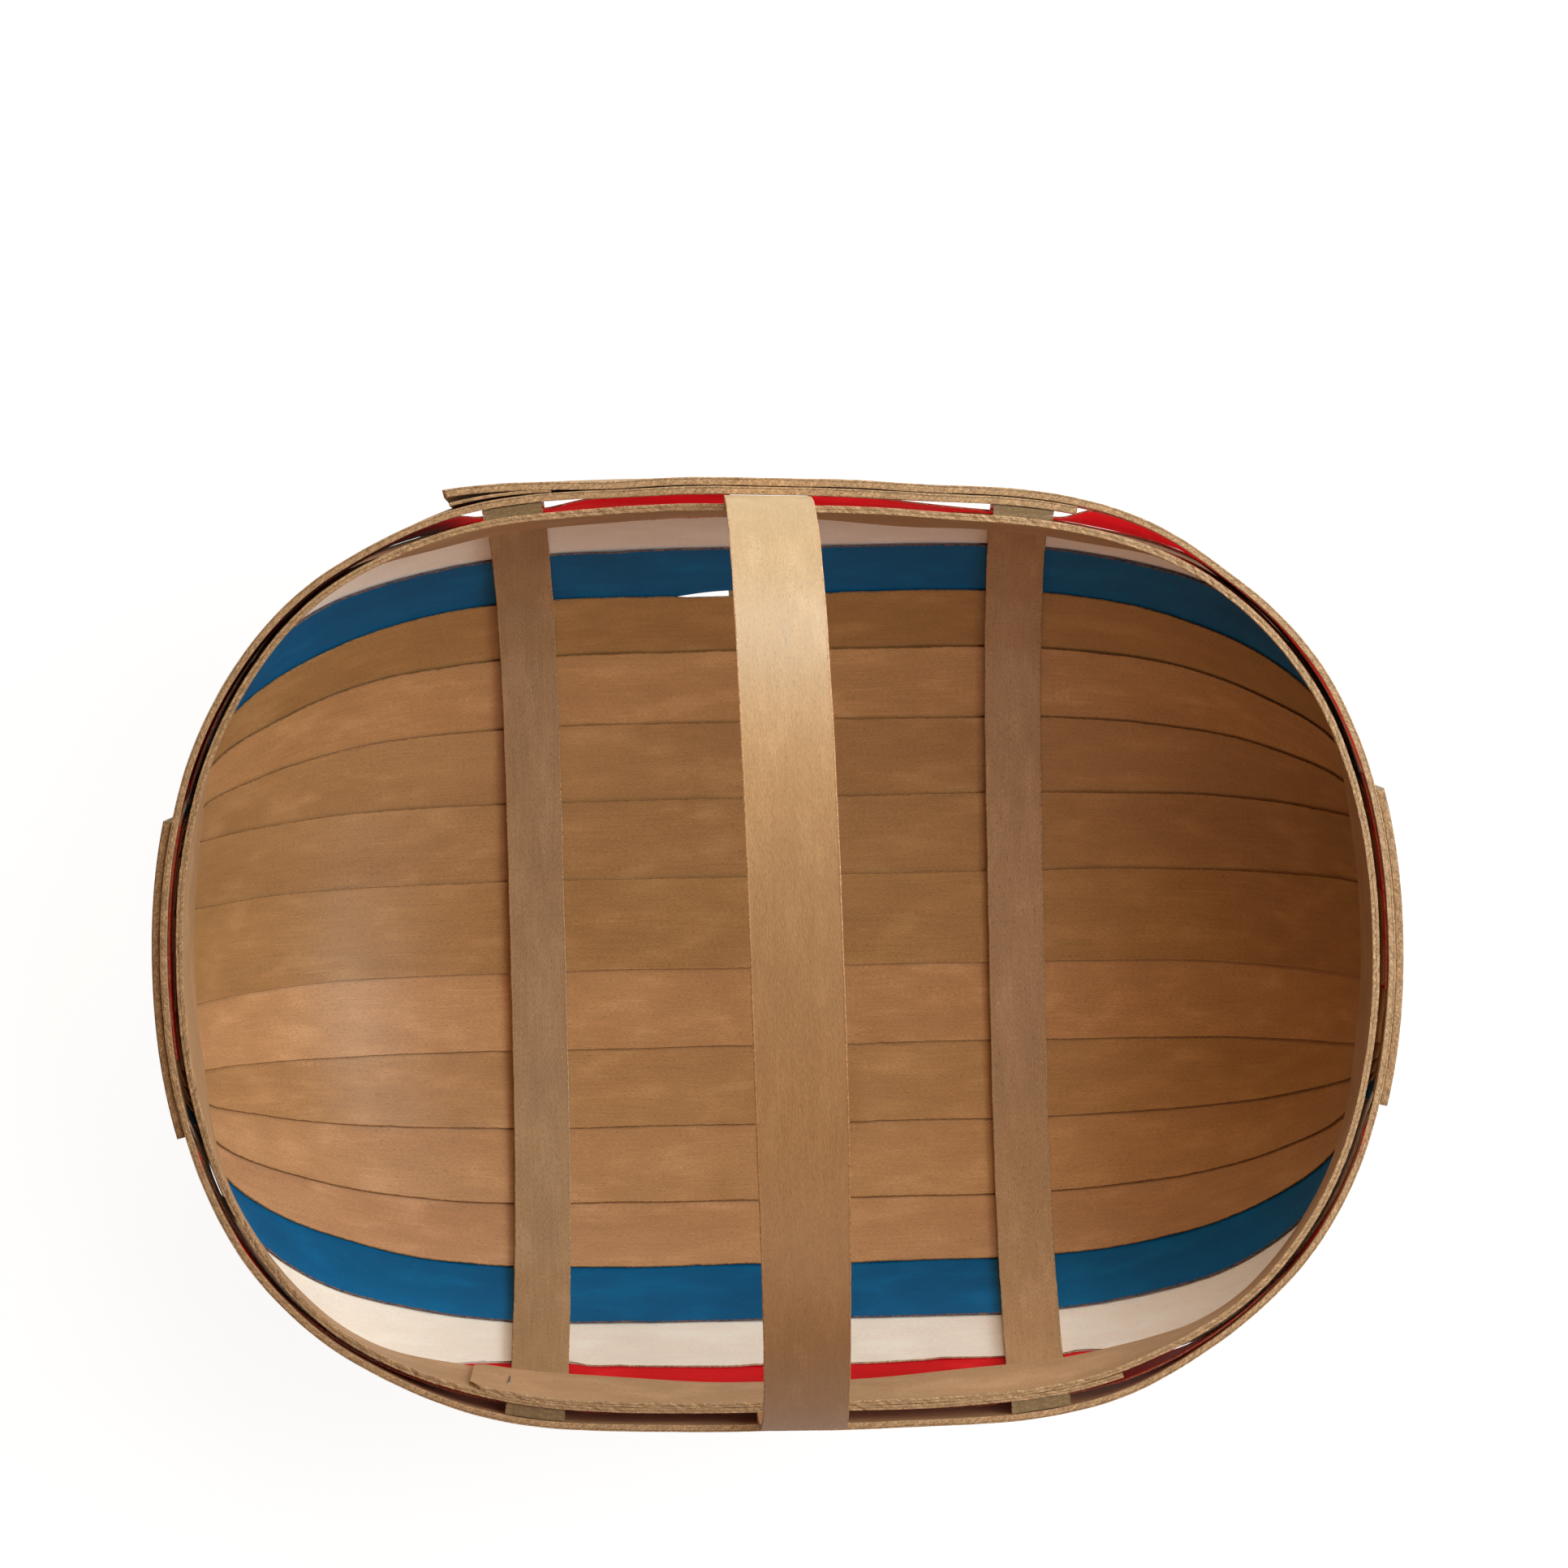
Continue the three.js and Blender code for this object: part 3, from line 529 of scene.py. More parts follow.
# At its four corners the basket is fuller under the hoops' upper edges, by end and side:
# the outer hoop and the cleats, and all that lies inside them
CORNER_BULGES = {(-1, -1): (0.0024, 0.0046), (1, -1): (0.0017, 0.0030),
                 (-1, 1): (0.0006, 0.0038), (1, 1): (0.0004, 0.0034)}
BULGE_ALONG = (0.115, 0.165)
BULGE_ACROSS = (0.030, 0.085)
BULGE_RISE = (HOOP_LEVEL - 0.040, HOOP_LEVEL)
BULGE_FALL = (HOOP_LEVEL + 0.002, RIM_LEVEL - 0.001)


def bulged(x, y, z, inside):
    share = smooth(np.abs(x), *BULGE_ALONG) * smooth(np.abs(y), *BULGE_ACROSS)
    share = share * smooth(z, *BULGE_RISE) * (1 - smooth(z, *BULGE_FALL))
    away_x = np.sign(x) * (np.abs(x) / HALF_LENGTH) ** (END_POWER - 1) / HALF_LENGTH
    away_y = np.sign(y) * (np.abs(y) / HALF_WIDTH) ** (SIDE_POWER - 1) / HALF_WIDTH
    away = np.maximum(np.hypot(away_x, away_y), 1e-9)
    amount = np.zeros_like(x)
    for (end, side), bulge in CORNER_BULGES.items():
        amount = np.where((np.sign(x) == end) & (np.sign(y) == side), bulge[inside], amount)
    return x + amount * share * away_x / away, y + amount * share * away_y / away


def settle(x, amounts):
    shifts = np.linspace(-SETTLE_SPREAD, SETTLE_SPREAD, 9)
    return sum(np.interp(x + shift, SETTLE_X, amounts) for shift in shifts) / len(shifts)


OUTSIDE = ("outer_rim", "end_cleat", "staple_cleat", "lap_splinter")


def settled(points, name):
    x, y, z = points.T
    front = name != "handle"
    x, y = bulged(x, y, z, not name.startswith(OUTSIDE))
    back_share = smooth(y, *SETTLE_DEPTH) * smooth(z, *BACK_RISE)
    front_share = front * smooth(-y, *SETTLE_DEPTH) * smooth(z, *FRONT_RISE)
    low_share = smooth(-y, *SETTLE_DEPTH) * smooth(z, *LOW_RISE) * (1 - smooth(z, *LOW_FALL))
    moved = y - settle(x, SETTLE_BACK) * back_share - settle(x, SETTLE_FRONT) * front_share
    return stack(x, moved - settle(x, SETTLE_FRONT_LOW) * low_share, z)


# Meshes

def outline(columns, last, thickness, bevel, rim, edge_depths):
    """Points round the cross-section of a strip: place, shift, depth and whether it is a cut
    edge. It goes over the inner face from edge 0 to edge last, and back over the outer one."""
    def face(depth, inset):
        near = [(0, bevel, depth + inset, 1), (0, rim, depth, 0)]
        far = [(last, -rim, depth, 0), (last, -bevel, depth + inset, 1)]
        return near + [(column, 0, depth, 0) for column in columns] + far

    far_edge = [(last, 0, share * thickness, 1) for share in edge_depths]
    near_edge = [(0, 0, share * thickness, 1) for share in edge_depths]
    points = face(0, 0) + far_edge + face(thickness, 0)[::-1] + near_edge[::-1]
    return np.array(points, float)


def add_ends(grid, inset=0.0003):
    """Puts a row just inside each end, so that the cut ends stay crisp."""
    def between(a, b):
        step = np.linalg.norm(b - a, axis=-1).mean()
        return a + (b - a) * min(0.5, inset / step)

    first, last = between(grid[0], grid[1]), between(grid[-1], grid[-2])
    return np.concatenate([grid[:1], first[None], grid[1:-1], last[None], grid[-1:]])


# Edges between faces that turn by more degrees than this stay crisp
SHARP_ANGLE = 38


def build_mesh(name, rings, values):
    """A closed mesh through rings of points, flat at both ends, with values at its points."""
    rows, count = rings.shape[:2]
    points = settled(rings.reshape(-1, 3), name)
    index = np.arange(rows * count).reshape(rows, count)
    turned = np.roll(index, -1, axis=1)
    quads = np.stack([index[:-1], turned[:-1], turned[1:], index[1:]], axis=-1).reshape(-1, 4)
    a, b, c, d = (points[quads[:, corner]] for corner in range(4))
    volume = (np.cross(a, b) * c).sum() + (np.cross(a, c) * d).sum()
    caps = [list(index[0])[::-1], list(index[-1])]
    if volume < 0:
        quads = quads[:, ::-1]
        caps = [cap[::-1] for cap in caps]
    mesh = bpy.data.meshes.new(name)
    faces = quads.tolist() + [[int(i) for i in cap] for cap in caps]
    mesh.from_pydata(points.tolist(), [], faces)
    for key, value in values.items():
        flat = np.ascontiguousarray(value, np.float32).ravel()
        if value.shape[-1:] == (3,) and value.ndim == rings.ndim:
            mesh.attributes.new(key, "FLOAT_VECTOR", "POINT").data.foreach_set("vector", flat)
        else:
            mesh.attributes.new(key, "FLOAT", "POINT").data.foreach_set("value", flat)
    mesh.polygons.foreach_set("use_smooth", [True] * len(mesh.polygons))
    mesh.set_sharp_from_angle(angle=math.radians(SHARP_ANGLE))
    mesh.update()
    return mesh


def place_object(name, data):
    placed = bpy.data.objects.new(name, data)
    bpy.context.scene.collection.objects.link(placed)
    return placed


def show(name, mesh, material, slot, node=None):
    mesh.materials.append(material)
    piece = place_object(name, mesh)
    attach(piece, "root")
    if node:
        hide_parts(node)
    return piece


def strip(name, inner, outer, thickness, material, slot, node=None, columns=None,
          bevel=0.00012, rim=0.0004, edge_depths=(0.15, 0.5, 0.85), trim=None, lift=None,
          fade=10):
    """A strip of wood between two grids of points, its faces. trim gives how much its two
    edges are cut back and lift how far it is moved along its thickness."""
    inner, outer = add_ends(inner), add_ends(outer)
    rows, keys = inner.shape[:2]
    if columns is None:
        columns = np.linspace(0, keys - 1, 9)[1:-1]
    section = outline(columns, keys - 1, thickness, bevel, rim, edge_depths)
    place, shift, depth, cut = section.T
    steps = np.linalg.norm(np.diff(inner, axis=1), axis=-1)
    runs = np.concatenate([np.zeros((rows, 1)), np.cumsum(steps, axis=1)], axis=1)
    width = runs[:, -1:]
    below = np.minimum(place.astype(int), keys - 2)
    across = runs[:, below] + (runs[:, below + 1] - runs[:, below]) * (place - below) + shift
    run = runs_along((inner[:, 0] + inner[:, -1]) / 2)[:, None]
    depth = np.broadcast_to(depth, across.shape).copy()
    share = across / width
    if trim:
        near, far = trim(run, depth, run[-1] - run)
        across = across + near * (1 - share) ** fade - far * share ** fade
    if lift:
        depth = depth + lift(run, share, run[-1] - run)
    rings = np.empty((rows, len(place), 3))
    for row in range(rows):
        for axis in range(3):
            low = np.interp(across[row], runs[row], inner[row, :, axis])
            high = np.interp(across[row], runs[row], outer[row, :, axis])
            rings[row, :, axis] = low + (high - low) * depth[row] / thickness
    values = {
        "grain": stack(run, across - width / 2, np.broadcast_to(section[:, 2], across.shape)),
        "edge": np.broadcast_to(cut, across.shape),
        "tip": np.zeros(across.shape),
    }
    values["tip"][[0, -1]] = 1
    mesh = build_mesh(name, rings, values)
    return show(name, mesh, material, slot, node)


# Materials

def paint(red, green, blue):
    """A screen colour from 0 to 255 as Blender's own."""
    def linear(value):
        value /= 255
        return value / 12.92 if value <= 0.04045 else ((value + 0.055) / 1.055) ** 2.4

    return (linear(red), linear(green), linear(blue), 1)


def toned(colour, tone):
    return tuple(min(255, channel * tone) for channel in colour)


class Shader:
    """The nodes of one material."""

    def __init__(self, name):
        self.material = bpy.data.materials.new(name)
        self.material.use_nodes = True
        self.tree = self.material.node_tree
        self.surface = self.tree.nodes["Principled BSDF"]

    def put(self, kind, values, **settings):
        node = self.tree.nodes.new(kind)
        for key, value in settings.items():
            setattr(node, key, value)
        for key, value in values.items():
            self.set(node.inputs[key], value)
        return node

    def set(self, socket, value):
        if isinstance(value, bpy.types.NodeSocket):
            self.tree.links.new(value, socket)
        else:
            socket.default_value = value

    def attribute(self, name, output):
        return self.put("ShaderNodeAttribute", {}, attribute_name=name).outputs[output]

    def vector(self, operation, a, b):
        return self.put("ShaderNodeVectorMath", {0: a, 1: b}, operation=operation).outputs[0]

    def math(self, operation, a, b):
        return self.put("ShaderNodeMath", {0: a, 1: b}, operation=operation).outputs[0]

    def noise(self, vector, scales, detail=2.0, roughness=0.5):
        spread = self.vector("MULTIPLY", vector, scales)
        values = {"Vector": spread, "Scale": 1.0, "Detail": detail, "Roughness": roughness}
        return self.put("ShaderNodeTexNoise", values).outputs[0]

    def ramp(self, value, low, high, to_low=0.0, to_high=1.0):
        values = {0: value, 1: low, 2: high, 3: to_low, 4: to_high}
        return self.put("ShaderNodeMapRange", values, interpolation_type="SMOOTHSTEP").outputs[0]

    def mix(self, share, a, b, blend="MIX"):
        node = self.put("ShaderNodeMix", {}, data_type="RGBA", blend_type=blend)
        for socket, value in zip((node.inputs[0], node.inputs[6], node.inputs[7]), (share, a, b)):
            self.set(socket, value)
        return node.outputs[2]

    def grey(self, value):
        return self.put("ShaderNodeCombineColor", {0: value, 1: value, 2: value}).outputs[0]

    def shade(self, colour, factor):
        """The colour times a factor that varies over the surface."""
        return self.mix(1.0, colour, self.grey(factor), "MULTIPLY")


# Where the back red slat's painted glow ends and its painted shade begins, left of the left rib
PAINTED_GLOW_ENDS = (-0.122, -0.102)

# Sizes in the wood: how far its lines sway, the waver and the half width of the glue line
# in a layered strip, and the height of its relief. The slant of torn edges is a share, and
# so is the shift of the pattern from one seed to the next.
SWAY = 0.0025
PLY_WANDER = 0.00025
PLY_LINE = (0.00006, 0.00022)
RELIEF = 0.0003
TEAR_SLANT = 1.4
SEED_SHARES = (0.713, 0.317, 0.171)


def wood(name, base, dark, light, seed, edge=(214, 174, 132), edge_dark=(172, 132, 94),
         end=(130, 96, 64), fibre=0.1, mottle=0.07, figure=0.3, pores=0.1, scratch=0.3,
         bare=None, bare_share=0.3, ply=0.0, sheen=0.5, gloss=0.45, fade=None, glow=0.0):
    """Thin split and sawn wood: slow figure along the strip, fibres, dark pores, and cut
    edges of another tone. Its grain runs along the attribute that the strips carry."""
    shader = Shader(name)
    put, noise, ramp = shader.put, shader.noise, shader.ramp
    mix, shade, math_node, surface = shader.mix, shader.shade, shader.math, shader.surface
    place = shader.attribute("grain", "Vector")
    grain = shader.vector("ADD", place, tuple(seed * share for share in SEED_SHARES))
    sway = ramp(noise(grain, (9, 25, 25), 2.0), 0.2, 0.8, -SWAY, SWAY)
    swayed = shader.vector("ADD", grain, put("ShaderNodeCombineXYZ", {"Y": sway}).outputs[0])
    fine = noise(swayed, (750, 4000, 4000), 2.0, 0.6)
    thread = noise(swayed, (70, 1500, 1500), 2.0)
    cloud = noise(grain, (42, 105, 105), 3.0, 0.55)
    slow = noise(swayed, (8, 34, 34), 2.0)
    pore = noise(swayed, (430, 2900, 2900), 1.0)
    pale = noise(swayed, (40, 2600, 2600), 1.0)
    spread = noise(grain, (32, 85, 85), 1.0)

    colour = mix(ramp(slow, 0.4, 0.68, 0, figure), paint(*base), paint(*dark))
    colour = mix(ramp(cloud, 0.5, 0.74, 0, 0.5), colour, paint(*light))
    if bare:
        flecks = noise(swayed, (260, 2400, 2400), 3.0, 0.7)
        colour = mix(ramp(flecks, 0.56, 0.72, 0, bare_share), colour, paint(*bare))
    for pattern, depth in ((cloud, mottle), (fine, 2 * fibre)):
        colour = shade(colour, ramp(pattern, 0.25, 0.75, 1 - depth, 1 + depth))
    colour = shade(colour, ramp(thread, 0.3, 0.7, 1 - fibre / 2, 1 + fibre / 2))
    colour = shade(colour, ramp(pore, 0.62, 0.76, 1, 1 - 2.5 * pores))
    lines = math_node("MULTIPLY", ramp(pale, 0.66, 0.74), ramp(spread, 0.5, 0.64, 0, scratch))
    colour = mix(lines, colour, paint(*toned(light, 1.18)))

    nick = noise(place, (1500, 1500, 2600), 2.0, 0.6)
    rough = noise(place, (700, 700, 900), 3.0, 0.65)
    run, _, depth = put("ShaderNodeSeparateXYZ", {0: place}).outputs
    slant = put("ShaderNodeCombineXYZ", {"X": math_node("MULTIPLY", depth, TEAR_SLANT)}).outputs[0]
    tear = noise(shader.vector("ADD", place, slant), (1100, 100, 160), 2.0, 0.6)
    sawn = mix(ramp(rough, 0.25, 0.75), paint(*edge_dark), paint(*edge))
    sawn = shade(sawn, ramp(nick, 0.25, 0.75, 0.6, 1.4))
    sawn = shade(sawn, ramp(tear, 0.3, 0.7, 0.82, 1.16))
    if ply:
        wander = ramp(noise(place, (35, 0, 0), 3.0), 0.2, 0.8, -PLY_WANDER, PLY_WANDER)
        off = math_node("ABSOLUTE", math_node("SUBTRACT", math_node("ADD", depth, wander), ply), 0.0)
        sawn = shade(sawn, ramp(off, *PLY_LINE, 0.5, 1))
    cut = shader.attribute("edge", "Fac")
    colour = mix(ramp(cut, 0.3, 0.9), colour, sawn)
    tipped = shade(paint(*end), ramp(rough, 0.3, 0.7, 0.7, 1.15))
    colour = mix(ramp(shader.attribute("tip", "Fac"), 0.3, 0.9), colour, tipped)
    # fade multiplies the colour by a tone along the run: painted shade
    if fade:
        start, stop, tone = fade
        colour = mix(ramp(run, start, stop), colour, mix(1.0, colour, paint(*tone), "MULTIPLY"))
    # Painted light and shade: towards +X of these ends the slat glows, though it is no lamp, and towards
    # -X of them its colour is painted darker
    if glow:
        at = put("ShaderNodeTexCoord", {}).outputs["Object"]
        across = put("ShaderNodeSeparateXYZ", {0: at}).outputs[0]
        colour = shade(colour, ramp(across, *PAINTED_GLOW_ENDS, 0.3, 1))
        shader.set(surface.inputs["Emission Color"], colour)
        shader.set(surface.inputs["Emission Strength"], ramp(across, *PAINTED_GLOW_ENDS, 0, glow))
    shader.set(surface.inputs["Base Color"], colour)

    shader.set(surface.inputs["Roughness"], ramp(fine, 0.25, 0.75, gloss - 0.06, gloss + 0.1))
    surface.inputs["Specular IOR Level"].default_value = sheen
    height = math_node("SUBTRACT", fine, ramp(pore, 0.62, 0.76, 0, 0.8))
    height = math_node("ADD", height, math_node("MULTIPLY", cloud, 2.5))
    ragged = math_node("MULTIPLY", math_node("ADD", rough, tear), 2.0)
    height = math_node("ADD", height, math_node("MULTIPLY", ragged, cut))
    relief = {"Strength": 0.25, "Distance": RELIEF, "Height": height}
    shader.set(surface.inputs["Normal"], put("ShaderNodeBump", relief).outputs[0])
    return shader.material


def stain(name, base, dark, light, bare, seed, bare_share, glow=0.0):
    """A stained slat: the stain thins along the grain and shows flecks of bare wood. With glow it
    has a painted glow, a painted light, and painted shade towards -X."""
    return wood(name, base, dark, light, seed, edge=(150, 104, 74), edge_dark=toned(base, 0.7),
                end=toned(base, 0.6), bare=bare, bare_share=bare_share, fibre=0.08, mottle=0.08,
                figure=0.6, pores=0.08, scratch=0.1, sheen=0.2, glow=glow)


def steel(name, base):
    shader = Shader(name)
    place = shader.attribute("grain", "Vector")
    drawn = shader.noise(place, (300, 5000, 5000), 2.0)
    dull = shader.noise(place, (700, 900, 900), 3.0)
    colour = shader.shade(paint(*base), shader.ramp(drawn, 0.3, 0.7, 0.85, 1.1))
    colour = shader.shade(colour, shader.ramp(dull, 0.5, 0.7, 1, 0.7))
    shader.set(shader.surface.inputs["Base Color"], colour)
    shader.surface.inputs["Metallic"].default_value = 1
    shader.set(shader.surface.inputs["Roughness"], shader.ramp(dull, 0.3, 0.7, 0.3, 0.5))
    return shader.material


# Slats

# How far short of the hoops' upper edge the slats end, towards -X and +X, as a share of
# half their length
END_CUTS = [(0.026, 0.010), (0.030, 0.008), (0.024, 0.013), (0.028, 0.02), (0.030, 0.026), (0.026, 0.03)]


def even_along(side, slat):
    """Places along a slat, evenly spaced over its length, with the hoop's lower edge among them."""
    along = np.linspace(-1, 1, 2001)
    across = np.full_like(along, max(slat - 0.5, -0.5))
    line = slat_point(*np.moveaxis(between_seams(side, across, along), -1, 0), np.zeros_like(along), 0)
    runs = runs_along(line)
    count = int(runs[-1] / SLAT_STEP)
    places = np.interp(np.linspace(0, runs[-1], count), runs, along)
    if slat < WHITE_SEAM:
        low, high = END_CUTS[slat]
        places = np.clip(places, low - 1, 1 - high)
    for mark in (-HOOP_SHARE, HOOP_SHARE):
        places[np.argmin(np.abs(places - mark))] = mark
    return places


def slat_keys(slat, along):
    lap = SLAT_LAP / (CENTER_SLAT_WIDTH if slat == 1 else BROWN_REVEAL)
    reach = lap + (END_LAP_SHARES[slat] - lap) * np.abs(along) ** END_LAP_POWER
    hidden = slat - 1 - reach
    if slat == 0:
        keys = [-1.0, -0.5, 0.0]
    elif slat < WHITE_SEAM:
        keys = [hidden, slat - 1.0, float(slat)]
    else:
        tucked = [hidden + (slat - 1 - hidden) * share for share in (0, 0.35, 0.7)]
        keys = tucked + list(slat - 1 + np.linspace(0, 1, 13))
    return stack(*keys, np.zeros_like(along))[:, :-1]


# At the back a brown slat and the blue one part beside the handle and leave a slit: how far
# each edge draws back, and where along the basket
PARTED = {4: 0.0012, BLUE: 0.0078}
PARTED_MIDDLE = -0.012
PARTED_REACH = 0.044

# How much shorter the white and the red slat are at the rim: slat, side, amount, the way it
# is counted (-1 towards -X, 1 towards +X, 0 both), where it grows and where it ends again
RIM_CUTS = (
    (WHITE_SEAM, -1, 0.0024, 0, (0.02, 0.075), None),
    (WHITE_SEAM, -1, -0.0010, 0, (0.12, 0.15), None),
    (WHITE_SEAM, -1, 0.0062, -1, (0.072, 0.088), (0.155, 0.185)),
    (WHITE_SEAM, -1, 0.0040, 1, (0.098, 0.112), (0.175, 0.205)),
    (RED_EDGE, -1, 0.0035, 0, None, None),
    (RED_EDGE, -1, -0.0035, 1, (0.116, 0.130), None),
    (RED_EDGE, -1, -0.00175, -1, (0.112, 0.130), None),
    (RED_EDGE, 1, 0.0040, -1, (0.128, 0.145), None),
    (RED_EDGE, 1, 0.0030, 1, (0.155, 0.175), None),
)
END_CUT = (0.0065, 0.180, 0.200)

# What the ribs' ends take out of the red slats: depth, half width and ramp
RIB_NOTCH = (0.0055, 0.0095, 0.0012)


def rim_cut(slat, side, x):
    total = 0 * x
    for cut_slat, cut_side, amount, way, grows, ends in RIM_CUTS:
        if (cut_slat, cut_side) == (slat, side):
            place = way * x if way else np.abs(x)
            share = smooth(place, *grows) if grows else 1
            total = total + amount * share * (1 - smooth(place, *ends) if ends else 1)
    if slat >= WHITE_SEAM:
        total = total + END_CUT[0] * smooth(np.abs(x), *END_CUT[1:])
    if slat == RED_EDGE:
        depth, half, ramp = RIB_NOTCH
        total = total + sum(depth * bump(np.abs(x - center), half, ramp) for center in RIB_PLACES)
    return total


# A slat's cut edge: slow and fine waves and chips, each with its height and length, and how
# much of the edge is chipped. Its lifted edge: waves, calm at its ends (shares of its length)
# and at the ribs
SLOW_CUT = (0.00025, 0.09)
FINE_CUT = (0.00006, 0.012)
CHIP_CUT = (0.0003, 0.02, 0.03)
EDGE_WAVE = (0.0005, 0.06)
END_CALM_SHARES = (0.17, 0.27)
RIB_CALM = (0.018, 0.032)


def cut_edge(run, seed):
    height, length, share = CHIP_CUT
    slow, fine = cut_waves(run, *SLOW_CUT, seed, 2), cut_waves(run, *FINE_CUT, seed + 1)
    return slow + fine + height * chips(run, length, seed + 2, share)


def add_slat(name, side, slat, material, slot, seed):
    along = even_along(side, slat)
    across = slat_keys(slat, along)
    plan = between_seams(side, across, np.broadcast_to(along[:, None], across.shape))
    out = layer_offset(slat, across)
    inner, outer = (slat_point(plan[..., 0], plan[..., 1], out, depth) for depth in (0, SLAT_THICKNESS))
    if slat == 0:
        columns = [0.2, 0.6, 1, 1.4, 1.8]
    elif slat < WHITE_SEAM:
        columns = [0.5, 1, 1.2, 1.4, 1.6, 1.8]
    else:
        columns = list(range(1, inner.shape[1] - 1))
    length = runs_along((inner[:, 0] + inner[:, -1]) / 2)[-1]

    def trim(run, depth, rest):
        x = run - length / 2
        near = cut_edge(run, seed) if slat == 0 else 0 * run
        far = cut_edge(run, seed + 3) + rim_cut(slat, side, x)
        if side == 1 and slat in PARTED:
            parted = PARTED[slat] * bump(np.abs(x - PARTED_MIDDLE), 0.0, PARTED_REACH) ** 0.7
            near, far = (near + parted, far) if slat == BLUE else (near, far + parted)
        return near, far

    def lift(run, share, rest):
        if slat == RED_EDGE:
            return 0 * share
        calm = smooth(np.minimum(run, rest), *(share * length for share in END_CALM_SHARES))
        x = run - length / 2
        for center in RIB_PLACES:
            calm = calm * smooth(np.abs(x - center), *RIB_CALM)
        wave = np.clip(wobble(run, EDGE_WAVE[1], seed + 4), 0, 1) * EDGE_WAVE[0]
        edge = share ** 3 if slat else (2 * np.abs(share - 0.5)) ** 3
        return -wave * calm * edge

    fade = 4 if side == 1 and slat == BLUE else 10
    return strip(name, inner, outer, SLAT_THICKNESS, material, slot, name, columns,
                 trim=trim, lift=lift, fade=fade)


# Slat colours: base, dark figure, light clouds and, on stained ones, bare wood
BROWN = ((193, 140, 88), (168, 115, 69), (205, 154, 105))
BROWN_SHARES = (1.01, 1.015, 1.05)
# Painted shade of the brown slats: from 0.04 to 0.34 m along them from their -X end their colour is
# multiplied by this tone, so they are darker and warmer towards +X
BROWN_PAINTED_SHADE = (0.04, 0.34, (251, 249, 232))
BLUE_STAIN = ((0, 95, 147), (0, 80, 127), (0, 104, 156), (24, 116, 156))
WHITE = ((254, 239, 228), (244, 225, 212), (254, 246, 238))
WHITE_TONES = {-1: 1.01, 1: 1.0}
RED_STAIN = ((226, 24, 34), (204, 14, 24), (236, 44, 50), (220, 90, 80))
# The back red slat is painted a lighter red than the front one: painted light where it lies in the hoops'
# shade
BACK_RED_STAIN_PAINTED_LIGHT = ((252, 34, 46), (242, 24, 36), (255, 58, 62), (250, 100, 90))
# Strength of the back red slat's painted glow, a painted light
BACK_RED_PAINTED_GLOW = 0.22

# The brown slats' tones, and how much bluer they are than the brown above: partly each slat's own tone and
# partly painted light and shade, as the back slats are mostly darker and the front ones lighter and bluer
BROWN_TONES_AND_PAINTED_LIGHT = {
    "slat_brown_4_back": (0.90, 0.94), "slat_brown_3_back": (1.0, 1), "slat_brown_2_back": (0.93, 0.98),
    "slat_brown_1_back": (0.92, 0.98), "slat_center": (0.93, 0.96), "slat_brown_1_front": (1.03, 1.04),
    "slat_brown_2_front": (0.98, 1), "slat_brown_3_front": (1.0, 1.05), "slat_brown_4_front": (1.0, 1.10),
}


def brown(name, seed):
    tone, bluer = BROWN_TONES_AND_PAINTED_LIGHT[name]
    more_red, more_green, more_blue = BROWN_SHARES
    colours = (toned((red * more_red, green * more_green, blue * more_blue * bluer), tone)
               for red, green, blue in BROWN)
    return wood(name, *colours, seed, edge=(186, 140, 96), edge_dark=(140, 98, 60), fade=BROWN_PAINTED_SHADE)


def red_stain(name, seed):
    # The back red slat gets the lighter red and the painted glow: painted light
    if name.endswith("back"):
        return stain(name, *BACK_RED_STAIN_PAINTED_LIGHT, seed, 0.12, BACK_RED_PAINTED_GLOW)
    return stain(name, *RED_STAIN, seed, 0.16)


def slat_look(slat, side, end, seed):
    """Name, material and slot of a slat."""
    if slat < BLUE:
        name = f"slat_brown_{slat}_{end}"
        return name, brown(name, seed), "brown_veneer"
    if slat == BLUE:
        name = f"slat_blue_{end}"
        return name, stain(name, *BLUE_STAIN, seed, 0.16), "blue_veneer"
    if slat == RED_EDGE:
        name = f"slat_red_{end}"
        return name, red_stain(name, seed), "red_veneer"
    name = f"slat_white_{end}"
    colours = (toned(colour, WHITE_TONES[side]) for colour in WHITE)
    material = wood(name, *colours, seed, edge=(206, 180, 150), edge_dark=(168, 138, 108),
                    fibre=0.03, mottle=0.03, pores=0.05, scratch=0.1)
    return name, material, "pale_veneer"


def add_slats():
    seed = 1
    add_slat("slat_center", 1, 0, brown("slat_center", seed), "brown_veneer", seed * 10)
    for side, end in SIDES:
        for slat in range(1, RED_EDGE + 1):
            seed += 1
            name, material, slot = slat_look(slat, side, end, seed)
            add_slat(name, side, slat, material, slot, seed * 10)


# Cross strips

def resample(lines, step):
    """Lines of points that run side by side, at even steps along their middle."""
    middle = sum(lines) / len(lines)
    runs = runs_along(middle)
    wanted = np.linspace(0, runs[-1], int(runs[-1] / step))
    return [stack(*(np.interp(wanted, runs, line[:, axis]) for axis in range(3))) for line in lines]


def soften(line, reach):
    """Rounds the corners of an evenly spaced line and keeps its two ends."""
    head = 2 * line[0] - line[reach:0:-1]
    tail = 2 * line[-1] - line[-2:-reach - 2:-1]
    padded = np.concatenate([head, line, tail])
    weights = np.hanning(2 * reach + 3)[1:-1]
    weights /= weights.sum()
    return stack(*(np.convolve(padded[:, axis], weights, "valid") for axis in range(3)))


def on_ground(line):
    line[:, 2] = np.maximum(line[:, 2], 0)
    return line


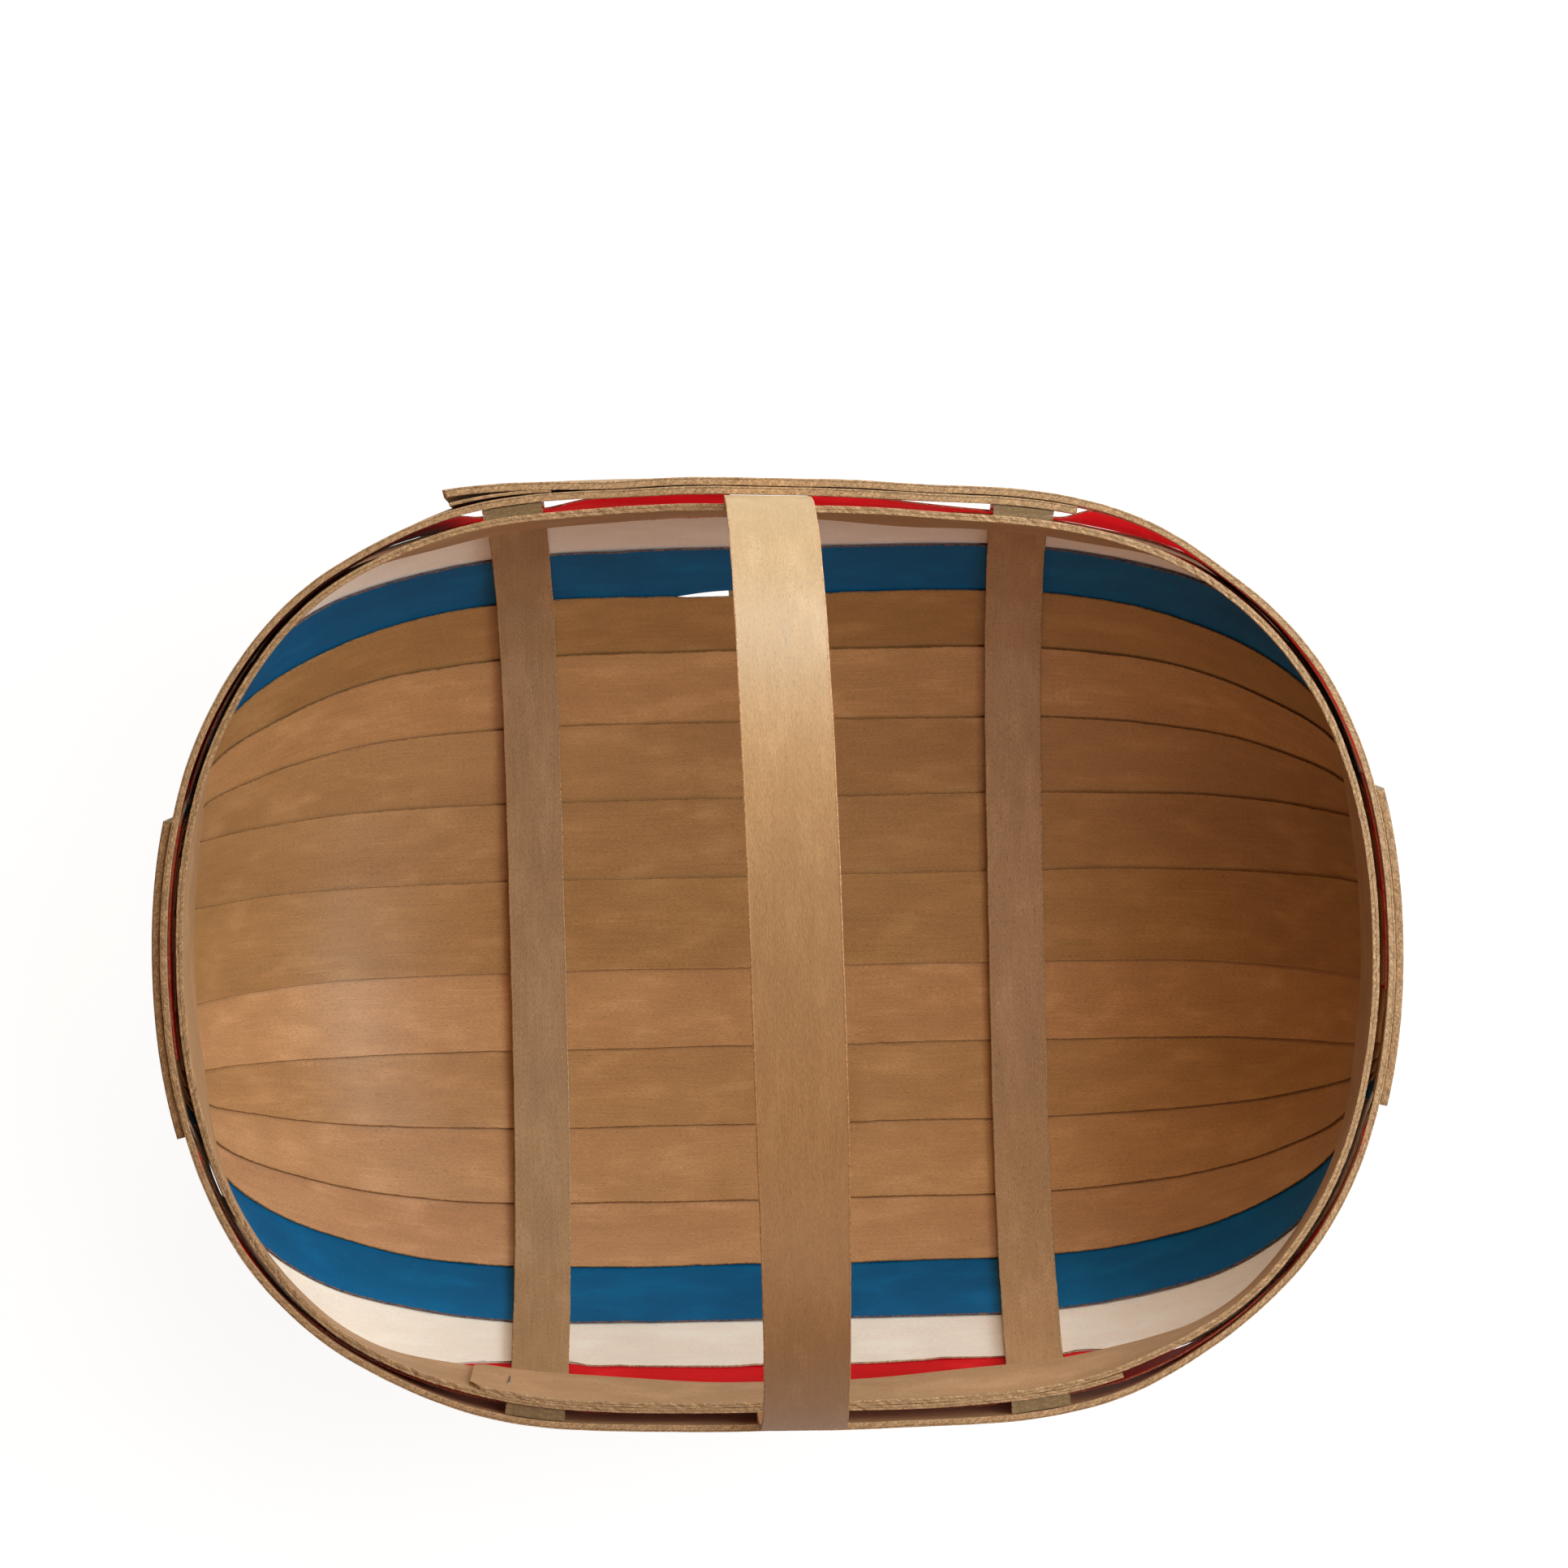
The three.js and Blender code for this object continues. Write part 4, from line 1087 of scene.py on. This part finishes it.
def strip_grids(lines, reach):
    """Inner and outer grid from the four edge lines of a strip: inner pair, outer pair."""
    lines = [soften(line, reach) for line in resample(lines, STRIP_STEP)]
    return np.stack(lines[:2], axis=1), np.stack(lines[2:], axis=1)


def crossing_line(x, out, top, side):
    """Half of a line along an inner rib, over the seams of the slats and up to its top."""
    seams = [side * float(seam_across(side, seam, x)) for seam in range(WHITE_SEAM + 1)]
    ys = np.array(seams)
    points = bowl_point(np.full_like(ys, x), ys, np.full_like(ys, out))
    foot = side * plan_across(x)
    ups = np.array([0, HOOP_HEIGHT - RIB_TRIM])
    wall = wall_point(np.full_like(ups, x), np.full_like(ups, foot), ups, np.array([out, top]))
    return np.concatenate([points, wall])


def outside_half(side, aside, out, center_at):
    """Half of a line along a strip under the belly, over the seams and up to the hoops."""
    rim_x = aside + center_at(side * HALF_WIDTH)
    ys = []
    for seam in range(WHITE_SEAM + 1):
        here = float(seam_across(side, seam, rim_x))
        after = plan_across(rim_x) if seam == WHITE_SEAM else float(seam_across(side, seam + 1, rim_x))
        ys += [side * here, side * (here + after) / 2]
    ys = np.array(ys)
    points = bowl_point(aside + center_at(ys), ys, np.full_like(ys, out))
    foot = wall_point(rim_x, side * plan_across(rim_x), 0.0, out)
    return np.concatenate([points, foot[None]])


# The two edges of a cross strip: length of their waves, then the chips' height as a share
# of the waves', their length and how much of the edge they take
ROUGH_EDGES = ((0.03, 1.5, 0.012, 0.05), (0.04, 1.0, 0.013, 0.03))


def rough_edges(seed, amount):
    def trim(run, depth, rest):
        cuts = []
        for first, (wave, height, length, share) in zip((seed, seed + 2), ROUGH_EDGES):
            chipped = height * amount * chips(run, length, first + 1, share)
            cuts.append(cut_waves(run, amount, wave, first) + chipped)
        return cuts
    return trim


# The ribs' upper ends are pressed together between the hoops: where the two faces of the
# inner and of the outer rib end, at the front and at the back
RIB_TOPS = {-1: (-0.00075, 0.0015, 0.00155, 0.00385), 1: (-0.00095, 0.00095, 0.0010, 0.00285)}

# Each rib's two faces: their place in those lists, and how far out they run below the hoops
RIB_FACES = {
    "inner": ((0, -FIT - RIB_THICKNESS), (1, -FIT)),
    "outer": ((2, STRIP_OFFSET), (3, STRIP_OFFSET + RIB_THICKNESS)),
}
RIB_PROFILE = {"edge_depths": (0.08, 0.3, 0.7, 0.92), "bevel": 0.0003, "rim": 0.0007}
RIB_ROUGHNESS = 0.0001

# Over how many points each rib's bends are rounded, and the seed of its edges
RIB_ROUNDING = {"inner": (5, 50), "outer": (4, 60)}

# An outer rib starts to be pressed inwards at this share of the hoops' height, by this share
PINCH_RISE = 0.4
PINCH_SHARE = 0.35


def outer_rib_half(side, center, aside, out, top_out):
    x = center + aside
    ups = np.array([PINCH_RISE * HOOP_HEIGHT, HOOP_HEIGHT - RIB_TRIM])
    offsets = np.array([(1 - PINCH_SHARE) * out + PINCH_SHARE * top_out, top_out])
    top = wall_point(np.full(2, x), np.full(2, side * plan_across(x)), ups, offsets)
    return np.concatenate([outside_half(side, aside, out, lambda y: center + 0 * y), top])


def add_ribs(material_for):
    for sign, end in ENDS:
        center = sign * RIB_PLACE
        for kind, faces in RIB_FACES.items():
            lines = []
            for face, out in faces:
                for aside in (-RIB_WIDTH / 2, RIB_WIDTH / 2):
                    if kind == "inner":
                        front, back = (crossing_line(center + aside, out, RIB_TOPS[side][face], side)
                                       for side in (-1, 1))
                    else:
                        front, back = (outer_rib_half(side, center, aside, out, RIB_TOPS[side][face])
                                       for side in (-1, 1))
                    line = np.concatenate([front[::-1], back])
                    lines.append(line if kind == "inner" else on_ground(line))
            name = f"{kind}_rib_{end}"
            reach, seed = RIB_ROUNDING[kind]
            strip(name, *strip_grids(lines, reach), RIB_THICKNESS, material_for(name), "bent_wood",
                  name, trim=rough_edges(seed + sign, RIB_ROUGHNESS), **RIB_PROFILE)


# The handle narrows towards its front foot, which also stands a little further in: shares of
# its width and of its reach, and where the narrowing starts and ends
FOOT_NARROW_SHARE = 0.05
FOOT_IN_SHARE = 0.005
NARROW_START = (0.02, 0.13)
NARROW_END = (-0.168, -0.15)


def arch_points(out, aside):
    angle = np.linspace(0, math.pi, ARCH_STEPS + 1)
    foot = wall_point(aside, plan_across(aside), HOOP_HEIGHT, STRIP_OFFSET + out - OUTER_TOP_IN)
    cosine, sine = np.cos(angle), np.sin(angle)
    y = foot[1] * np.sign(cosine) * np.abs(cosine) ** (2 / ARCH_POWER)
    y = y * (1 - FOOT_IN_SHARE * (y < 0) * np.abs(cosine))
    rise = np.abs(sine) ** (2 / ARCH_POWER)
    height = HANDLE_RISE - HANDLE_THICKNESS + out
    narrowed = aside * (1 - FOOT_NARROW_SHARE * smooth(-y, *NARROW_START) * smooth(y, *NARROW_END))
    return stack(narrowed + handle_center(y) + HANDLE_LEAN * rise, y, foot[2] + height * rise)


HANDLE_PROFILE = {"edge_depths": (0.06, 0.25, 0.5, 0.75, 0.94), "bevel": 0.00035, "rim": 0.0008}
HANDLE_ROUGHNESS = 0.00007


def add_handle(material):
    lines = []
    for out in (0, HANDLE_THICKNESS):
        for aside in (-HANDLE_WIDTH / 2, HANDLE_WIDTH / 2):
            offset = STRIP_OFFSET + out
            halves = []
            for side in (1, -1):
                start_y = np.array([side * HANDLE_JOINT_GAP / 2])
                start = bowl_point(aside + handle_center(start_y), start_y, np.array([offset]))
                half = outside_half(side, aside, offset, handle_center)
                halves.append(on_ground(np.concatenate([start, half])))
            lines.append(np.concatenate([halves[0], arch_points(out, aside), halves[1][::-1]]))
    strip("handle", *strip_grids(lines, 4), HANDLE_THICKNESS, material, "handle_wood", "handle",
          trim=rough_edges(70, HANDLE_ROUGHNESS), **HANDLE_PROFILE)


# Hoops and cleats

def round_plan(side, start_x, end_x, step):
    """Stations round the plan curve from one place on a side to another, once round first."""
    angle = np.linspace(0, 2 * math.pi, CURVE_SAMPLES + 1)
    sine, cosine = np.sin(angle), np.cos(angle)
    xs = -np.sign(sine) * HALF_LENGTH * np.abs(sine) ** (2 / END_POWER)
    ys = side * np.sign(cosine) * HALF_WIDTH * np.abs(cosine) ** (2 / SIDE_POWER)
    pieces = np.hypot(np.diff(xs), np.diff(ys))
    runs = np.concatenate([[0], np.cumsum(pieces)])
    whole = runs[-1]
    quarter = CURVE_SAMPLES // 4 + 1

    def run_at(x, turn):
        return whole * turn - math.copysign(np.interp(abs(x), np.abs(xs[:quarter]), runs[:quarter]), x)

    start, end = run_at(start_x, 1), run_at(end_x, 2)
    count = math.ceil((end - start) / step)
    places = start + (end - start) * np.arange(count + 1) / count
    turned = places % whole
    return {
        "x": np.interp(turned, runs, xs), "y": np.interp(turned, runs, ys),
        "run": places - start, "rest": end - places, "round": whole,
    }


def lap_climb(stations, step, free_lift):
    whole = stations["round"]
    climb = smooth(stations["run"], whole - LAP_RAMP_LENGTH, whole - CAD_HOOP_STEP)
    lift = np.clip(1 - stations["rest"] / LAP_LIFT_LENGTH, 0, 1) ** 2
    return climb * step + lift * free_lift


LAP_FADE = 0.04


def lap_share(stations):
    """1 where two layers of a hoop lie on each other, 0 where it is single."""
    lap = stations["run"][-1] - stations["round"]
    return np.maximum(*(bump(stations[way], lap - LAP_FADE / 2, LAP_FADE) for way in ("run", "rest")))


# In a lap the two layers touch, sunk in a little, and part above their lower edges, which rise
# by this share of the upper ones' rise
LAP_SINK = 0.0003
LOW_LIFT_SHARE = 0.3


def hoop_grids(stations, face, thickness, climb, facing):
    """Inner and outer grid of a hoop from the offsets of one face at its two edges."""
    x, y = stations["x"], stations["y"]
    grids = []
    ups = stack(0 * climb, 0 * climb + HOOP_HEIGHT)
    touching = thickness - LAP_SINK
    low_climb = np.where(climb > touching, touching + LOW_LIFT_SHARE * (climb - touching), climb)
    for out in (0, 1):
        offsets = stack(*(edge + facing * (up + out * thickness)
                          for edge, up in zip(face(x, y), (low_climb, climb))))
        grids.append(wall_point(x[:, None], y[:, None], ups, offsets))
    return grids[::facing]


def wall_grids(x, y, low, high, offset, thickness):
    ups = stack(np.full_like(x, low), np.full_like(x, high))
    return [wall_point(x[:, None], y[:, None], ups, (offset + out)[:, None]) for out in (0, thickness)]


# A hoop's sawn edges: notches and slow waves of the upper and waves of the lower one, each
# with its height and length, and the lower one's chips, with the share of the edge they take.
# Of the upper one's chips length and share, and how far notches and chips slant over the edge
NOTCHES = (0.00004, 0.0045)
SLOW_SAW = (0.00012, 0.08)
LOW_SAW = (0.0001, 0.03)
LOW_CHIPS = (0.0002, 0.008, 0.08)
TORN_CHIPS = (0.007, 0.2)
NOTCH_SLANT = 0.3
CHIP_SLANT = 1.6


def sawn_top(seed, clip=0.0, torn=0.0002):
    """A hoop's sawn edges: fine notches and torn chips, with clipped corners at its free end."""
    def trim(run, depth, rest):
        notch = cut_waves(run + NOTCH_SLANT * depth, *NOTCHES, seed, 5)
        slow = cut_waves(run, *SLOW_SAW, seed + 1, 2)
        length, share = TORN_CHIPS
        chip = torn * chips(run + CHIP_SLANT * depth, length, seed + 2, share)
        corner = clip * np.clip(1 - rest / clip, 0, 1) if clip else 0
        height, length, share = LOW_CHIPS
        low = cut_waves(run, *LOW_SAW, seed + 3) + height * chips(run + depth, length, seed + 4, share)
        return low + corner, notch + slow + chip + corner
    return trim


# A hoop's upper edge wavers in and out, calm towards its ends: height, length, and how long
# the calm is
HOOP_WAVER = (0.0001, 0.06)
WAVER_CALM = 0.03


def hoop_waver(seed):
    def lift(run, share, rest):
        height, length = HOOP_WAVER
        calm = smooth(np.minimum(run, rest), 0.0, WAVER_CALM)
        return height * calm * wobble(run, length, seed, 3) * share ** 4
    return lift


HOOP_PROFILE = {
    "columns": [0.1, 0.3, 0.5, 0.7, 0.9], "bevel": 0.00015, "rim": 0.0005, "fade": 30,
    "edge_depths": (0.06, 0.2, 0.36, 0.52, 0.68, 0.84, 0.94),
}

# In a lap the layers are thicker or thinner than the hoop by this share, and leave this gap
OUTER_LAP_SHARE = 0.12
INNER_LAP_SHARE = -0.25
INNER_LAP_GAP = 0.0001


def add_hoop(name, stations, face, facing, thicker, gap, lift, trim, seed, material):
    thickness = HOOP_THICKNESS * (1 + thicker * lap_share(stations))
    climb = lap_climb(stations, thickness + gap, lift)
    grids = hoop_grids(stations, face, thickness, climb, facing)
    strip(name, *grids, HOOP_THICKNESS, material, "bent_wood", name,
          trim=trim, lift=hoop_waver(seed), **HOOP_PROFILE)


def add_hoops(material_for):
    stations = round_plan(1, OUTER_LAP_UNDER, OUTER_LAP_TOP, HOOP_STEP)
    name = "outer_rim_hoop"
    add_hoop(name, stations, outer_face, 1, OUTER_LAP_SHARE, LAP_GAP, LAP_LIFT,
             sawn_top(80, 0.0012), 81, material_for(name))
    add_splinter(stations, material_for(name))
    stations = round_plan(-1, INNER_LAP_UNDER, INNER_LAP_TOP, HOOP_STEP)
    name = "inner_rim_hoop"
    add_hoop(name, stations, inner_face, -1, INNER_LAP_SHARE, INNER_LAP_GAP, 0,
             sawn_top(90, 0.0035, 0.0004), 91, material_for(name))


# The splinter in the outer lap: where it starts and ends from the tip, its thickness, its
# gap to the layer below, and how far it springs up towards the tip
SPLINTER_REACH = (0.0004, 0.037)
SPLINTER_THICKNESS = 0.0011
SPLINTER_GAP = 0.0003
SPLINTER_RISE = 0.0012


def add_splinter(stations, material):
    """A thin torn layer that still hangs under the free end of the outer lap."""
    first, last = SPLINTER_REACH
    rest = stations["rest"]
    near = (rest >= first) & (rest <= last)
    part = {"x": stations["x"][near], "y": stations["y"][near]}
    under = (1 + OUTER_LAP_SHARE) * HOOP_THICKNESS + SPLINTER_GAP + SPLINTER_RISE * (1 - rest[near] / last)
    grids = hoop_grids(part, outer_face, np.full_like(under, SPLINTER_THICKNESS), under, 1)
    strip("lap_splinter", *grids, SPLINTER_THICKNESS, material, "bent_wood",
          trim=sawn_top(85, 0, 0.0006), edge_depths=(0.5,), fade=20)


# Both cleats sit a little nearer to the front, the left one more
CLEAT_SHIFTS = {"left": -0.0030, "right": -0.0012}
CLEAT_PROFILE = {"bevel": 0.0004, "rim": 0.0009, "edge_depths": (0.14, 0.38, 0.62, 0.86), "fade": 20}


def add_cleats(material_for):
    for sign, end in ENDS:
        y = np.linspace(-CLEAT_LENGTH / 2, CLEAT_LENGTH / 2, 90) + CLEAT_SHIFTS[end]
        x = sign * plan_along(y)
        offset = outer_face(x, y)[1] + HOOP_THICKNESS + FIT
        grids = wall_grids(x, y, CLEAT_TRIM, HOOP_HEIGHT - CLEAT_TRIM, offset, CLEAT_THICKNESS)
        name = f"end_cleat_{end}"
        strip(name, *grids, CLEAT_THICKNESS, material_for(name), "bent_wood", name,
              trim=sawn_top(100 + sign), **CLEAT_PROFILE)


# The red slats' thin ends run on against the outer hoop round both ends of the basket
RED_END_REACHES = {"left": (-0.031, 0.060), "right": (-0.016, 0.060)}
RED_END_LOW = 0.009
RED_END_GAP = 0.0001


def add_red_ends(material):
    for sign, end in ENDS:
        y = np.linspace(*RED_END_REACHES[end], 60)
        x = sign * plan_along(y)
        offset = outer_face(x, y)[1] - SLAT_THICKNESS - RED_END_GAP
        grids = wall_grids(x, y, RED_END_LOW, WALL_TOP, offset, SLAT_THICKNESS)
        strip(f"red_end_{end}", *grids, SLAT_THICKNESS, material, "red_veneer", edge_depths=(0.5,),
              trim=rough_edges(120 + sign, 0.0001))


# Staples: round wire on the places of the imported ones, driven a little into the wood
WIRE_SINK = 0.0011
WIRE_BEND = 0.0009


def wall_staple(x, y, offset):
    at = wall_point(x, y, HOOP_HEIGHT / 2, offset)
    outward = unit(wall_point(x, y, HOOP_HEIGHT / 2, offset + FIT) - at)
    return at, unit(wall_point(x, y, HOOP_HEIGHT, offset) - at), outward


def hoop_staple(stations, index, face, facing, upright):
    """Place, crown direction and outward direction, square to the face of a hoop."""
    near = slice(index - 1, index + 2)
    x, y = stations["x"][near], stations["y"][near]
    before, at, after = wall_point(x, y, HOOP_HEIGHT / 2, face[near])
    upward = unit(wall_point(x[1], y[1], HOOP_HEIGHT, face[index]) - at)
    forward = unit(after - before)
    outward = unit(np.cross(forward, upward))
    away = wall_point(x[1], y[1], HOOP_HEIGHT / 2, face[index] + facing * FIT) - at
    outward = outward * np.sign(outward @ away)
    return at, upward if upright else forward, outward


def add_staple(name, placed, material):
    at, along, outward = placed
    radius = WIRE_WIDTH / 2
    half = CROWN_LENGTH / 2 - radius
    top = CROWN_CLEARANCE + radius
    inside = half - WIRE_BEND
    bend = [(inside + WIRE_BEND * math.sin(angle), top - WIRE_BEND + WIRE_BEND * math.cos(angle))
            for angle in np.linspace(0, math.pi / 2, 7)]
    crown = [(share * inside, top) for share in np.linspace(0, 0.9, 6)]
    half_path = crown + bend + [(half, share * -LEG_DEPTH) for share in (0.1, 0.55, 1)]
    path = np.array([(-u, v) for u, v in half_path[:0:-1]] + half_path)
    points = at + path[:, :1] * along + path[:, 1:] * outward
    tangents = unit(np.gradient(points, axis=0))
    side = unit(np.cross(along, outward))
    across = unit(np.cross(tangents, side))
    turn = np.linspace(0, 2 * math.pi, 12, endpoint=False)
    rings = (points[:, None]
             + np.cos(turn)[:, None] * across[:, None] * radius
             + np.sin(turn)[:, None] * side * radius)
    values = {"grain": stack(runs_along(points)[:, None], turn * radius, 0.0 * turn)}
    show(name, build_mesh(name, rings, values), material, "staple_steel", name)


def add_staples(material):
    outer = round_plan(1, OUTER_LAP_UNDER, OUTER_LAP_TOP, CAD_HOOP_STEP)
    low, high = outer_face(outer["x"], outer["y"])
    outside = (low + high) / 2 + lap_climb(outer, LAP_STEP, LAP_LIFT) + HOOP_THICKNESS - WIRE_SINK

    def on_outer_hoop(name, x, side, upright):
        near = (np.sign(outer["y"]) == side) & (np.abs(outer["x"] - x) <= CAD_HOOP_STEP / 2)
        place = hoop_staple(outer, np.flatnonzero(near)[-1], outside, 1, upright)
        add_staple(name, place, material)

    for side, face in SIDES:
        for sign, end in ENDS:
            on_outer_hoop(f"staple_rib_{end}_{face}", sign * RIB_PLACE, side, False)
            beside = handle_center(side * HALF_WIDTH) + sign * HANDLE_STAPLE_SPACING / 2
            on_outer_hoop(f"staple_handle_{end}_{face}", beside, side, True)
            y = side * (CLEAT_LENGTH / 2 - CLEAT_STAPLE_INSET) + CLEAT_SHIFTS[end]
            x = sign * plan_along(y)
            top = float(outer_face(x, y)[1])
            offset = top + HOOP_THICKNESS + FIT + CLEAT_THICKNESS - WIRE_SINK
            add_staple(f"staple_cleat_{end}_{face}", wall_staple(x, y, offset), material)
    on_outer_hoop("staple_outer_lap", OUTER_LAP_TOP + LAP_STAPLE_INSET + LAP_LIFT_LENGTH, 1, True)
    inner = round_plan(-1, INNER_LAP_UNDER, INNER_LAP_TOP, CAD_HOOP_STEP)
    at = np.flatnonzero(inner["rest"] <= LAP_STAPLE_INSET)[0]
    low, high = inner_face(inner["x"], inner["y"])
    lap_thickness = (1 + INNER_LAP_SHARE) * HOOP_THICKNESS
    inside = (low + high) / 2 - lap_climb(inner, lap_thickness, 0) - lap_thickness
    add_staple("staple_inner_lap", hoop_staple(inner, at, inside + WIRE_SINK, -1, True), material)


# Assembly

SEEDS = {
    "inner_rib_left": 31, "inner_rib_right": 32, "outer_rib_left": 33, "outer_rib_right": 34,
    "outer_rim_hoop": 35, "inner_rim_hoop": 36, "end_cleat_left": 37, "end_cleat_right": 38,
}


def bent_wood(name):
    if name.endswith("hoop"):
        return wood(name, (196, 154, 116), (170, 128, 92), (206, 166, 130), SEEDS[name],
                    ply=0.0019 if name.startswith("outer") else 0.0013, pores=0.14)
    tone = 0.94 if name == "inner_rib_left" else 1.0
    colours = (toned(colour, tone) for colour in ((184, 142, 102), (164, 122, 84), (192, 152, 114)))
    return wood(name, *colours, SEEDS[name],
                edge=(196, 156, 114), edge_dark=(150, 112, 76), end=(152, 124, 88), pores=0.16,
                fibre=0.12)


add_slats()
add_ribs(bent_wood)
# The handle's fade is painted shade: from its back foot to the top of the arch it turns darker and warmer,
# and it stays so over its front half
add_handle(wood("handle", (209, 173, 126), (193, 154, 107), (218, 187, 145), 40,
                edge=(226, 182, 132), edge_dark=(196, 150, 102), pores=0.12, fibre=0.08, mottle=0.04,
                figure=0.2, sheen=0.9, fade=(0.20, 0.50, (222, 196, 168))))
add_hoops(bent_wood)
add_red_ends(red_stain("red_ends", 17))
add_cleats(bent_wood)
add_staples(steel("staple_wire", (170, 170, 172)))


# Floor, light and camera

FLOOR_SIZE = 6.0
FLOOR_GLOW = 0.90
FLOOR_SHADE = 0.27
FLOOR_BOUNCE = 0.8


def clear_tree(owner):
    owner.use_nodes = True
    owner.node_tree.nodes.clear()
    return owner.node_tree


def seen_or_lit(tree, seen, lit, kind):
    """One look for the camera and another for the light that falls on things."""
    ray, mix, output = (tree.nodes.new(name) for name in (
        "ShaderNodeLightPath", "ShaderNodeMixShader", kind))
    for out, to in ((ray.outputs["Is Camera Ray"], mix.inputs[0]), (lit.outputs[0], mix.inputs[1]),
                    (seen.outputs[0], mix.inputs[2]), (mix.outputs[0], output.inputs["Surface"])):
        tree.links.new(out, to)


def grey(value):
    return (value, value, value, 1)


def add_floor():
    half = FLOOR_SIZE / 2
    corners = [(-half, -half, 0), (half, -half, 0), (half, half, 0), (-half, half, 0)]
    mesh = bpy.data.meshes.new("floor")
    mesh.from_pydata(corners, [], [(0, 1, 2, 3)])
    floor = place_object("floor", mesh)
    material = bpy.data.materials.new("floor")
    tree = clear_tree(material)
    glow, soft, plain, both = (tree.nodes.new(f"ShaderNode{kind}") for kind in (
        "Emission", "BsdfDiffuse", "BsdfDiffuse", "AddShader"))
    glow.inputs["Strength"].default_value = FLOOR_GLOW
    soft.inputs["Color"].default_value = grey(FLOOR_SHADE)
    plain.inputs["Color"].default_value = grey(FLOOR_BOUNCE)
    tree.links.new(glow.outputs[0], both.inputs[0])
    tree.links.new(soft.outputs[0], both.inputs[1])
    seen_or_lit(tree, both, plain, "ShaderNodeOutputMaterial")
    mesh.materials.append(material)


AMBIENT = 0.04
AMBIENT_COLOUR = (1.0, 0.72, 0.5, 1)


def set_world():
    world = bpy.data.worlds.new("studio")
    bpy.context.scene.world = world
    tree = clear_tree(world)
    seen, light = (tree.nodes.new("ShaderNodeBackground") for _ in range(2))
    light.inputs["Strength"].default_value = AMBIENT
    light.inputs["Color"].default_value = AMBIENT_COLOUR
    seen.inputs["Color"].default_value = grey(1)
    seen_or_lit(tree, seen, light, "ShaderNodeOutputWorld")


# Lamps: direction from the basket, distance, size, the light that each gives a face turned
# towards it, and its colour
LAMPS = {
    "side": ((0.85, 0.2, 0.55), 1.8, 1.0, 0.54, (0.84, 1.0, 0.98)),
    "above": ((0.1, 0.99, 0.05), 1.8, 1.2, 0.70, (0.88, 0.99, 1.0)),
    "corner": ((0.6, 0.7, 0.4), 1.8, 1.2, 0.14, (0.6, 0.85, 1.0)),
    "high": ((0.1, 0.75, 0.65), 1.8, 1.2, 0.26, (1.0, 0.7, 0.37)),
    "front": ((0.55, 0.1, 0.85), 1.8, 1.2, 0.26, (1.0, 0.97, 0.98)),
    "fill": ((0.0, -0.8, 0.6), 1.8, 1.2, 0.22, (1.0, 0.71, 0.53)),
}


def add_lamps():
    middle = (cad_low + cad_high) / 2
    for name, (direction, distance, size, light, colour) in LAMPS.items():
        lamp = bpy.data.lights.new(name, "AREA")
        lamp.shape = "DISK"
        lamp.size = size
        lamp.energy = light * math.pi * math.pi * distance ** 2
        lamp.color = colour
        holder = place_object(name, lamp)
        way = Vector(direction).normalized()
        holder.location = middle + way * distance
        holder.rotation_euler = way.to_track_quat("Z", "Y").to_euler()
        holder.visible_camera = False


# Camera: its place from the middle of the rim, its tilts and its focal length, as a share
# of the picture's width
CAMERA_PLACE = (-0.0044779, 0.2043882, 1.9894644)
CAMERA_TILTS = (0.0714, 0.0040, 0.0229)
SENSOR = 36.0
FOCAL_SHARE = 6932.6954 / 1932


def add_camera():
    data = bpy.data.cameras.new("camera")
    data.sensor_width = SENSOR
    data.lens = FOCAL_SHARE * SENSOR
    camera = place_object("camera", data)
    turned = Euler(CAMERA_TILTS, "XYZ").to_matrix().transposed()
    x, y, above = CAMERA_PLACE
    camera.matrix_world = Matrix.Translation((x, y, RIM_LEVEL + above)) @ turned.to_4x4()
    bpy.context.scene.camera = camera


add_floor()
set_world()
add_lamps()
add_camera()
bpy.context.scene.view_settings.view_transform = "Standard"
